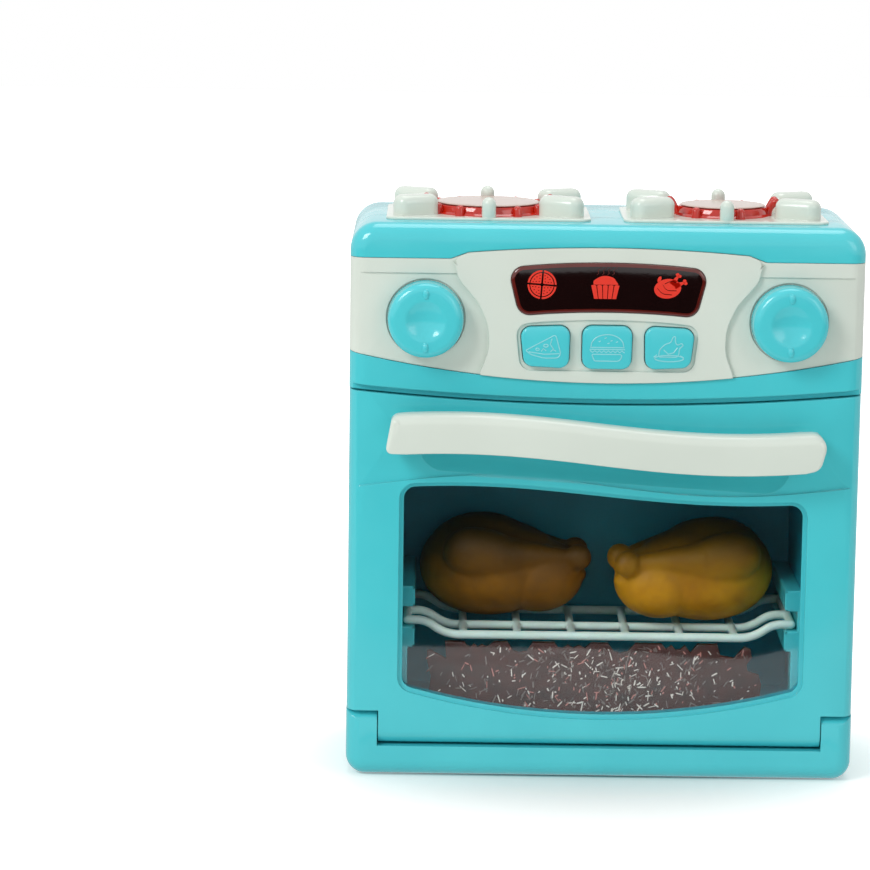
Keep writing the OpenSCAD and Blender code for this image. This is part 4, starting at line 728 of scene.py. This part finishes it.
outline = handle_outline()
grip = cushioned(outline, -HANDLE_REACH, HANDLE_THICK - HANDLE_REACH, handle_rim, steps=9)
feet = []
for side in (-1, 1):
    inner, outer = HANDLE_HALF - FOOT_LEN, HANDLE_HALF - 0.6
    top = handle_top(side * HANDLE_HALF) - 2.2
    low = handle_top(side * HANDLE_HALF) - HANDLE_H + 1.4
    corners = [(side * inner, low), (side * outer, low), (side * (outer - 1), top), (side * inner, top)]
    corners = corners if side > 0 else corners[::-1]
    feet.append(cushioned(rounded_outline(corners, 1.6), HANDLE_THICK - HANDLE_REACH - 0.5, 0.0, 0.2))
piece("door_handle_soft", joined(grip, *feet), [IVORY], "door", hides=["door_handle"])
print("handle heights at its ends and middle:", [round(handle_top(x), 1) for x in (-HANDLE_HALF, 0, HANDLE_HALF)])

# %% [markdown]
# ## Wire rack
# The rack is moulded in polypropylene to look like bent wire: three long bars whose ends climb to the rails, six
# cross bars under them, and small collars where they fuse.
# %% Rack
rack_low, rack_high = (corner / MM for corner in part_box("rack"))
WIRE = 1.8
WIRE_DEPTHS = [20.0, 39.5, 72.5]
RACK_Z = 56.5
RACK_END_Z = 62.5
RACK_HALF = 80.1
BEND_OUT, BEND_IN = 72.8, 63.8
CROSS = [(i - 2.5) * 2 * (BEND_IN - 7) / 5 for i in range(6)]
route = [(-RACK_HALF, RACK_END_Z), (-BEND_OUT, RACK_END_Z), (-BEND_IN, RACK_Z)]
route += [(-x, z) for x, z in reversed(route)]
bars = []
for depth in WIRE_DEPTHS:
    bars.append(bar(rounded_path([(x, depth, z) for x, z in route], 5.5, 8), WIRE, sides=20))
for x in CROSS:
    spots, widths = [], []
    for depth in np.linspace(WIRE_DEPTHS[0], WIRE_DEPTHS[-1], 40):
        near = min(abs(depth - wire) for wire in WIRE_DEPTHS)
        spots.append((x, depth, RACK_Z))
        widths.append(WIRE * (0.93 + 0.26 * math.exp(-((near - 1.6) / 1.3) ** 2)))
    bars.append(bar(spots, widths, sides=20))
for side in (-1, 1):
    bars.append(bar([(side * RACK_HALF, WIRE_DEPTHS[0], RACK_END_Z), (side * RACK_HALF, WIRE_DEPTHS[-1], RACK_END_Z)],
                    WIRE * 0.95, sides=20))
piece("rack_soft", joined(*bars), [RACK], "rack", hides=["rack"])
print("rack bars:", len(bars))

# %% [markdown]
# ## Roast birds
# The birds are hollow vinyl. Each is drawn as overlapping eggs: carcass, breast, thighs, drumsticks with their
# knuckles, and tail. A voxel remesh fuses the eggs, and a little smoothing leaves soft creases between them.
# The left bird is turned a little away and the right one towards the window, as they lie in the picture.
# %% Birds
BIRD_PARTS = [
    ((-4, 0, 21), (32, 21.5, 21), 0.14, (0, 0, 0)),
    ((-9, 0, 26.5), (24, 16.5, 17.4), 0.0, (0, 0, 0)),
    ((15, 0, 17.5), (19, 17.5, 15.5), 0.0, (0, -6, 0)),
    ((31, 1, 19), (4.5, 4.5, 3.6), 0.0, (0, 0, 0)),
]
for side in (-1, 1):
    BIRD_PARTS += [
        ((-4, side * 15.8, 28.5), (20, 8.6, 10.4), 0.3, (0, 9, side * -9)),
        ((31 + 1.5 * side, side * 7.8, 27.5), (5.6, 5.3, 5.7), 0.0, (0, 0, 0)),
    ]


def bird_form(turn):
    """Eggs of one bird about its own middle, feet towards +x, turned about the upright axis."""
    parts = [egg(*part) for part in BIRD_PARTS]
    for side in (-1, 1):
        spots = [(2 + 26 * t, side * (15.0 - 7.2 * t), 28.6 - 1.2 * t) for t in np.linspace(0, 1, 8)]
        parts.append(bar(spots, [7.8 * (1 - t) + 3.4 * t for t in np.linspace(0, 1, 8)], sides=24))
    points, faces, finishes = joined(*parts)
    spin = Matrix.Rotation(math.radians(turn), 3, "Z")
    return [tuple(spin @ Vector(p)) for p in points], faces, finishes


def fused(thing, voxel, smoothing):
    """Replaces a piece's mesh by its remeshed and smoothed skin."""
    remesh = thing.modifiers.new("One skin", "REMESH")
    remesh.mode = "VOXEL"
    remesh.voxel_size = voxel * MM
    remesh.use_smooth_shade = True
    smooth = thing.modifiers.new("Soft creases", "SMOOTH")
    smooth.factor = 0.5
    smooth.iterations = smoothing
    bpy.context.view_layer.update()
    skin = bpy.data.meshes.new_from_object(thing.evaluated_get(bpy.context.evaluated_depsgraph_get()))
    finish = thing.data.materials[0]
    thing.modifiers.clear()
    thing.data = skin
    thing.data.materials.clear()
    thing.data.materials.append(finish)
    return thing


for side, turn in (("left", 8), ("right", 20)):
    low, high = (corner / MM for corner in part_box("chicken_" + side))
    middle = (low + high) / 2
    sense = 1 if side == "left" else -1
    points, faces, finishes = bird_form(turn)
    points = [(middle.x + sense * u, middle.y - FRONT / MM - v, low.z + w)
              for u, v, w in points]
    bird = piece("bird_" + side, (points, faces, finishes), [ROAST[side]], "chicken_" + side, hides=["chicken_" + side])
    fused(bird, 0.9, 5)
    corners = [Vector(c) for c in bird.bound_box]
    print("bird", side, [round((max(c[i] for c in corners) - min(c[i] for c in corners)) / MM, 1) for i in range(3)])

# %% [markdown]
# ## Ember sheet
# Behind the rack a dark red sheet with a jagged top stands for glowing coals. Raised chips on it are painted glints
# for the highlights of its facets: white, pink and grey, the pale ones glowing a little. The chips are scattered from
# a fixed seed, denser in the middle.
# %% Embers
EMBER_FRONT = 21.0
EMBER_THICK = 2.5
EMBER_EDGE = [(-70.5, 22), (-71, 31), (-70, 38), (-71.6, 44), (-71.8, 49), (-70.4, 49.3), (-63.6, 45.6), (-64.4, 53),
              (-62.5, 53.2), (-56.2, 53), (-55, 51.4), (-53.6, 50.8), (-52.2, 52.2), (-50.6, 50.9), (-48.8, 51.9),
              (-47.2, 50.9), (-45.6, 51.6), (-43.6, 53.2), (-38, 53.2), (-35.6, 49.4), (-33, 48.6), (-30, 49.2),
              (-27.6, 53.2), (-18.4, 53.2), (-16.8, 51), (-15, 50.7), (-12.8, 52.2), (-10.8, 50.9), (-8, 52), (-5.6, 50.9),
              (-3.2, 53.2), (4, 53.2), (6.6, 49.6), (9, 48.8), (12.2, 49.6), (15.4, 53.2), (26.4, 53.2), (28.4, 50.9),
              (30.6, 52.6), (32.4, 50.6), (34.2, 50.8), (36.2, 52.6), (38.6, 49.6), (41.4, 53.2), (49.8, 53.2),
              (51.2, 48.4), (56.8, 47.4), (61, 52.2), (63.8, 51.4), (64.4, 47.8), (62.2, 44.6), (62.8, 41.8),
              (67.4, 40.4), (68.6, 36.4), (68, 31), (69, 26), (68.4, 22)]
edge = []
for start, end in zip(EMBER_EDGE, EMBER_EDGE[1:] + EMBER_EDGE[:1]):
    edge.append(start)
    if (Vector(start) - Vector(end)).length > 4:
        edge += [tuple(Vector(start).lerp(Vector(end), t)) for t in (0.33, 0.67)]
sheet = cushioned(edge[::-1], EMBER_FRONT, EMBER_FRONT + EMBER_THICK, 0.5, steps=3)
coal_low, coal_high = (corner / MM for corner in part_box("coal_insert"))
shelf_low = coal_low.z
shelf_edge = [(-64, shelf_low), (64, shelf_low), (64, shelf_low + EMBER_THICK), (-64, shelf_low + EMBER_THICK)]
shelf = cushioned(rounded_outline(shelf_edge, 0.4, 2), EMBER_FRONT + 1.2, EMBER_FRONT + 24, 0.3, steps=2)
random.seed(11)
chips = []


def inside(x, z, outline):
    """True if a point lies within an outline."""
    crossings = 0
    for (ax, az), (bx, bz) in zip(outline, outline[1:] + outline[:1]):
        if (az > z) != (bz > z) and x < ax + (z - az) / (bz - az) * (bx - ax):
            crossings += 1
    return crossings % 2 == 1


while len(chips) < 560:
    x = random.gauss(3, 36)
    z = random.uniform(23, 52)
    if not inside(x, z, EMBER_EDGE) or not inside(x, z + 1.6, EMBER_EDGE):
        continue
    length = random.choice((1.0, 1.5, 2.0, 2.8, 3.6)) * random.uniform(0.8, 1.2)
    wide = random.uniform(0.16, 0.34)
    turn = random.gauss(70, 45)
    shape = [(-length / 2, 0), (-length / 3, -wide), (length / 3, -wide * 0.8), (length / 2, 0), (length / 3, wide),
             (-length / 3, wide * 0.9)]
    chip = slip(moved(shape, x, z, turn=turn), EMBER_FRONT - 0.06, 0.2)
    # Each chip takes a painted glint: white, pink or dull grey.
    chips.append(in_finish(chip, random.choice((1, 1, 2, 3, 3, 3))))
piece("ember_sheet", joined(sheet, shelf, *chips), [EMBER, PAINTED_GLINT, PAINTED_PINK_GLINT, PAINTED_DULL_GLINT], "oven", hides=["coal_insert"])
print("chips in the ember sheet:", len(chips))

# %% [markdown]
# ## Pan supports
# The pan supports are soft blocks moulded in one with their plate. Each is an outline with round corners, raised
# and rounded over at the top like a pillow; two short domed studs stand before and behind the burner.
# %% Hob plates
HOB_X, HOB_DEPTH = 48.75, 42.0
PLATE_HALF = (42.0, 28.0)
LUG_LONG, LUG_WIDE, LUG_TOP = 19.0, 9.2, 9.4
STUD_RADIUS = 2.9


def laid(form, shift, turn=0.0):
    """A cushioned plate laid flat, its front upwards, then turned and moved."""
    c, s = math.cos(math.radians(turn)), math.sin(math.radians(turn))
    points = [(shift[0] + x * c - z * s, shift[1] - x * s - z * c, shift[2] - depth) for x, depth, z in form[0]]
    return points, form[1], form[2]


def block(half_long, half_wide, corner, height, rim):
    """A soft block with round corners and a rounded top."""
    outline = [(sx * (half_long - corner) + corner * math.cos(t), sz * (half_wide - corner) + corner * math.sin(t))
               for quarter, (sx, sz) in enumerate(((1, 1), (-1, 1), (-1, -1), (1, -1)))
               for t in np.linspace(quarter * math.pi / 2, (quarter + 1) * math.pi / 2, 9)]
    return cushioned(outline, 0, height, rim, steps=8)


deck = DECK / MM
low_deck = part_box("hob_plate_left")[0].z / MM
for side, sign, cap_radius in (("left", -1, 21.4), ("right", 1, 17.6)):
    middle = (sign * HOB_X, HOB_DEPTH)
    plate = laid(block(*PLATE_HALF, 5, 1.1, 0.5), (*middle, low_deck + 1.1))
    forms = [plate]
    for turn in (28, 152, 208, 332):
        a = math.radians(turn)
        reach = 43.5 - LUG_LONG / 2
        spot = (middle[0] + reach * math.cos(a), middle[1] - reach * math.sin(a), low_deck + LUG_TOP)
        forms.append(laid(block(LUG_LONG / 2, LUG_WIDE / 2, 3.9, LUG_TOP - 0.4, 3.4), spot, turn))
    for reach in (-1, 1):
        profile = [(STUD_RADIUS, low_deck + 0.4), (STUD_RADIUS, low_deck + LUG_TOP - STUD_RADIUS)]
        profile += [(STUD_RADIUS * math.cos(t), low_deck + LUG_TOP - STUD_RADIUS + STUD_RADIUS * math.sin(t))
                    for t in np.linspace(0.2, math.pi / 2 - 0.01, 8)] + [(0, low_deck + LUG_TOP)]
        spot = (middle[0], middle[1] + reach * (PLATE_HALF[1] - STUD_RADIUS), 0)
        forms.append(turned([(0, low_deck + 0.4)] + profile, spot, upright=True, sides=40))
    piece("hob_plate_" + side + "_soft", joined(*forms), [IVORY], "oven", hides=["hob_plate_" + side])
    cap_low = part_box("burner_cap_" + side)[0].z / MM
    disc = turned([(0, cap_low), (cap_radius - 0.4, cap_low), (cap_radius - 0.1, cap_low + 0.1), (cap_radius, cap_low + 0.3),
                   (cap_radius - 0.2, cap_low + 0.5), (cap_radius - 0.8, cap_low + 0.62), (cap_radius - 3, cap_low + 0.7),
                   (0, cap_low + 0.75)], (*middle, 0), upright=True)
    piece("burner_cap_" + side + "_soft", disc, [CAP], "oven", hides=["burner_cap_" + side])
print("pan supports:", 8, "studs:", 4)

# %% [markdown]
# ## Flames round the burners
# Each burner is a clear red tub with little round posts standing against it, moulded with domed tops; the posts at
# the two sides lean outwards like flames. Light from the lamps below runs up in them.
# %% Burner rings


def flame_ring(side, cap_radius, posts, leaning):
    """The tub and its posts, in place of the plain ring."""
    sign = -1 if side == "left" else 1
    middle = (sign * HOB_X, HOB_DEPTH, 0)
    floor, rim = low_deck + 0.9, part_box("burner_cap_" + side)[0].z / MM
    wall = cap_radius + 0.9
    tub = turned([(0, floor + 0.6), (wall - 2.4, floor + 0.6), (wall - 2.2, rim - 0.3), (wall - 0.3, rim - 0.3),
                  (wall, rim - 0.7), (wall + 0.4, floor + 1.2), (wall + 1.4, floor + 0.5), (wall + 1.5, floor),
                  (0, floor)], middle, upright=True)
    forms = [tub]
    for turn in posts:
        a = math.radians(turn)
        spots = [(cap_radius + 2.5, floor), (cap_radius + 2.2, rim - 1.3)]
        forms.append(bar([(middle[0] + r * math.cos(a), middle[1] - r * math.sin(a), z) for r, z in spots],
                         [2.0, 1.8], sides=20, dome=6))
    for turn in leaning:
        a = math.radians(turn)
        spots = [(cap_radius + 1.4 + 2.9 * t ** 1.8, floor + 6.9 * t - 0.9 * t ** 3) for t in np.linspace(0, 1, 8)]
        forms.append(bar([(middle[0] + r * math.cos(a), middle[1] - r * math.sin(a), z) for r, z in spots],
                         [1.6, 1.5, 1.4, 1.35, 1.35, 1.45, 1.6, 1.7], sides=20, dome=6))
    piece("flame_ring_" + side, joined(*forms), [FLAME], "oven", hides=["burner_ring_" + side])
    return len(forms) - 1


POSTS_LEFT = [quarter + turn for quarter in (90, 270) for turn in (-60, -30, 30, 60)]
POSTS_RIGHT = [72, 127, 241.5, 298.5]
print("flame posts:", flame_ring("left", 21.4, POSTS_LEFT, (0, 180)) + flame_ring("right", 17.6, POSTS_RIGHT, (-9, 9, 180)))

# %% [markdown]
# ## Floor
# The toy stands on a white paper table in front of white. Near the toy only the lamps light the paper, which keeps
# the soft contact shadow; further out a glow that the camera, gloss and glass see takes it to plain white. The
# table ends a hand's length in front of the toy, along a slightly curved edge. Past that edge the room is dark, and
# only reflections show it: it is the milky line across the lower part of the window.
# %% Floor
FLOOR_HALF = 4.0
TABLE_EDGE = [(-4, 0.243), (0.0, 0.243), (0.028, 0.239), (0.05, 0.227), (0.069, 0.222), (0.085, 0.229), (0.104, 0.250),
              (0.14, 0.262), (4, 0.262)]


def floor_material(name, reflected):
    """White paper with a glow that grows with distance; reflections see it times a level."""
    material = empty_material(name)
    tree = material.node_tree
    path = add(tree, "LightPath")
    place = add(tree, "NewGeometry").outputs["Position"]
    away = add(tree, "VectorMath", {0: place}, operation="LENGTH")
    grows = add(tree, "MapRange", {"Value": away.outputs["Value"], "From Min": 0.02, "From Max": 0.27},
                interpolation_type="SMOOTHSTEP")
    seen = add(tree, "Math", {0: path.outputs["Is Camera Ray"], 1: path.outputs["Is Glossy Ray"]}, operation="MAXIMUM")
    shown = add(tree, "Math", {0: seen.outputs["Value"], 1: path.outputs["Is Transmission Ray"]}, operation="MAXIMUM")
    strength = add(tree, "Math", {0: grows.outputs["Result"], 1: shown.outputs["Value"]}, operation="MULTIPLY")
    fibres = add(tree, "TexNoise", {"Vector": place, "Scale": per_mm(3)})
    bump = add(tree, "Bump", {"Height": fibres.outputs["Fac"], "Strength": 0.05, "Distance": 0.1 * MM})
    paper = add(tree, "BsdfPrincipled", {"Base Color": linear("#f4f4f2"), "Roughness": 0.7,
                                         "Normal": bump.outputs["Normal"]})
    glow = add(tree, "Emission", {"Color": linear("#ffffff"), "Strength": strength.outputs["Value"]})
    lit = add(tree, "AddShader", {0: paper.outputs["BSDF"], 1: glow.outputs["Emission"]})
    room = add(tree, "Emission", {"Color": linear("#ffffff"), "Strength": reflected})
    both = add(tree, "MixShader", {"Fac": path.outputs["Is Glossy Ray"], 1: lit.outputs["Shader"],
                                   2: room.outputs["Emission"]})
    add(tree, "OutputMaterial", {"Surface": both.outputs["Shader"]})
    return material


front_edge = [(x, FRONT - reach) for x, reach in rounded_path(TABLE_EDGE, 0.02)]
count = len(front_edge)
spots = front_edge + [(FLOOR_HALF, FLOOR_HALF), (-FLOOR_HALF, FLOOR_HALF), (FLOOR_HALF, -FLOOR_HALF),
                      (-FLOOR_HALF, -FLOOR_HALF)]
floor_mesh = bpy.data.meshes.new("table top")
floor_mesh.from_pydata([(x, y, -0.3 * MM) for x, y in spots], [],
                       [list(range(count)) + [count, count + 1], list(range(count))[::-1] + [count + 3, count + 2]])
floor_mesh.materials.append(floor_material("white paper table", 0.7))
floor_mesh.materials.append(floor_material("white paper, dark in reflections", 0.02))
floor_mesh.polygons[1].material_index = 1
floor = bpy.data.objects.new("table_top", floor_mesh)
bpy.context.scene.collection.objects.link(floor)

# %% [markdown]
# ## Light
# The world is white to the camera, to gloss and to glass, and at half strength it fills the shadows. A large key
# softbox stands high on the left, a weak fill on the right, and a top lamp behind the toy's deck.
# %% World and lamps
world = bpy.data.worlds.new("white studio")
bpy.context.scene.world = world
world.use_nodes = True
sky_tree = world.node_tree
sky_tree.nodes.clear()
ray = add(sky_tree, "LightPath")
seen = add(sky_tree, "Math", {0: ray.outputs["Is Camera Ray"], 1: ray.outputs["Is Glossy Ray"]}, operation="MAXIMUM")
seen_or_through = add(sky_tree, "Math", {0: seen.outputs["Value"], 1: ray.outputs["Is Transmission Ray"]},
                      operation="MAXIMUM")
level = add(sky_tree, "MapRange", {"Value": seen_or_through.outputs["Value"], "To Min": 0.45, "To Max": 1.0})
sky = add(sky_tree, "Background", {"Color": linear("#ffffff"), "Strength": level.outputs["Result"]})
add(sky_tree, "OutputWorld", {"Surface": sky.outputs["Background"]})


def softbox(name, place, aim, size, power):
    """A square studio lamp aimed at a point."""
    lamp = bpy.data.lights.new(name, "AREA")
    lamp.shape = "SQUARE"
    lamp.size = size
    lamp.energy = power
    holder = bpy.data.objects.new(name, lamp)
    holder.location = place
    holder.rotation_euler = (Vector(aim) - Vector(place)).to_track_quat("-Z", "Y").to_euler()
    bpy.context.scene.collection.objects.link(holder)
    return holder


MIDDLE = (0, 0, DECK / 2)
softbox("key softbox", (-1.35, -1.35, 1.45), MIDDLE, 0.8, 23)
softbox("fill softbox", (1.3, -1.3, 0.9), MIDDLE, 0.9, 4.5)
softbox("top softbox", (0.1, 0.3, 1.9), MIDDLE, 1.0, 10)

# %% [markdown]
# ## Camera
# The lens and place come from fitting the picture's upright edges and the deck: a long lens about a metre and a
# half away, a little above the deck and left of the middle, looking down by nine degrees and slightly rolled.
# %% Camera
FOCAL_PIXELS = 3700
PICTURE_PIXELS = 870
SENSOR_MM = 36.0
CAMERA_PLACE = (-0.0696, FRONT - 1.4933, 0.3884)
CAMERA_PITCH_DOWN = 9.3
CAMERA_ROLL = 0.77
camera_data = bpy.data.cameras.new("camera")
camera_data.sensor_width = SENSOR_MM
camera_data.lens = SENSOR_MM * FOCAL_PIXELS / PICTURE_PIXELS
camera_data.clip_start = 0.05
camera = bpy.data.objects.new("camera", camera_data)
camera.matrix_world = (Matrix.Translation(CAMERA_PLACE)
                       @ Matrix.Rotation(math.radians(90 - CAMERA_PITCH_DOWN), 4, "X")
                       @ Matrix.Rotation(math.radians(CAMERA_ROLL), 4, "Z"))
bpy.context.scene.collection.objects.link(camera)
bpy.context.scene.camera = camera
bpy.context.scene.view_settings.view_transform = "Standard"
print("camera lens in mm:", round(camera_data.lens, 1))
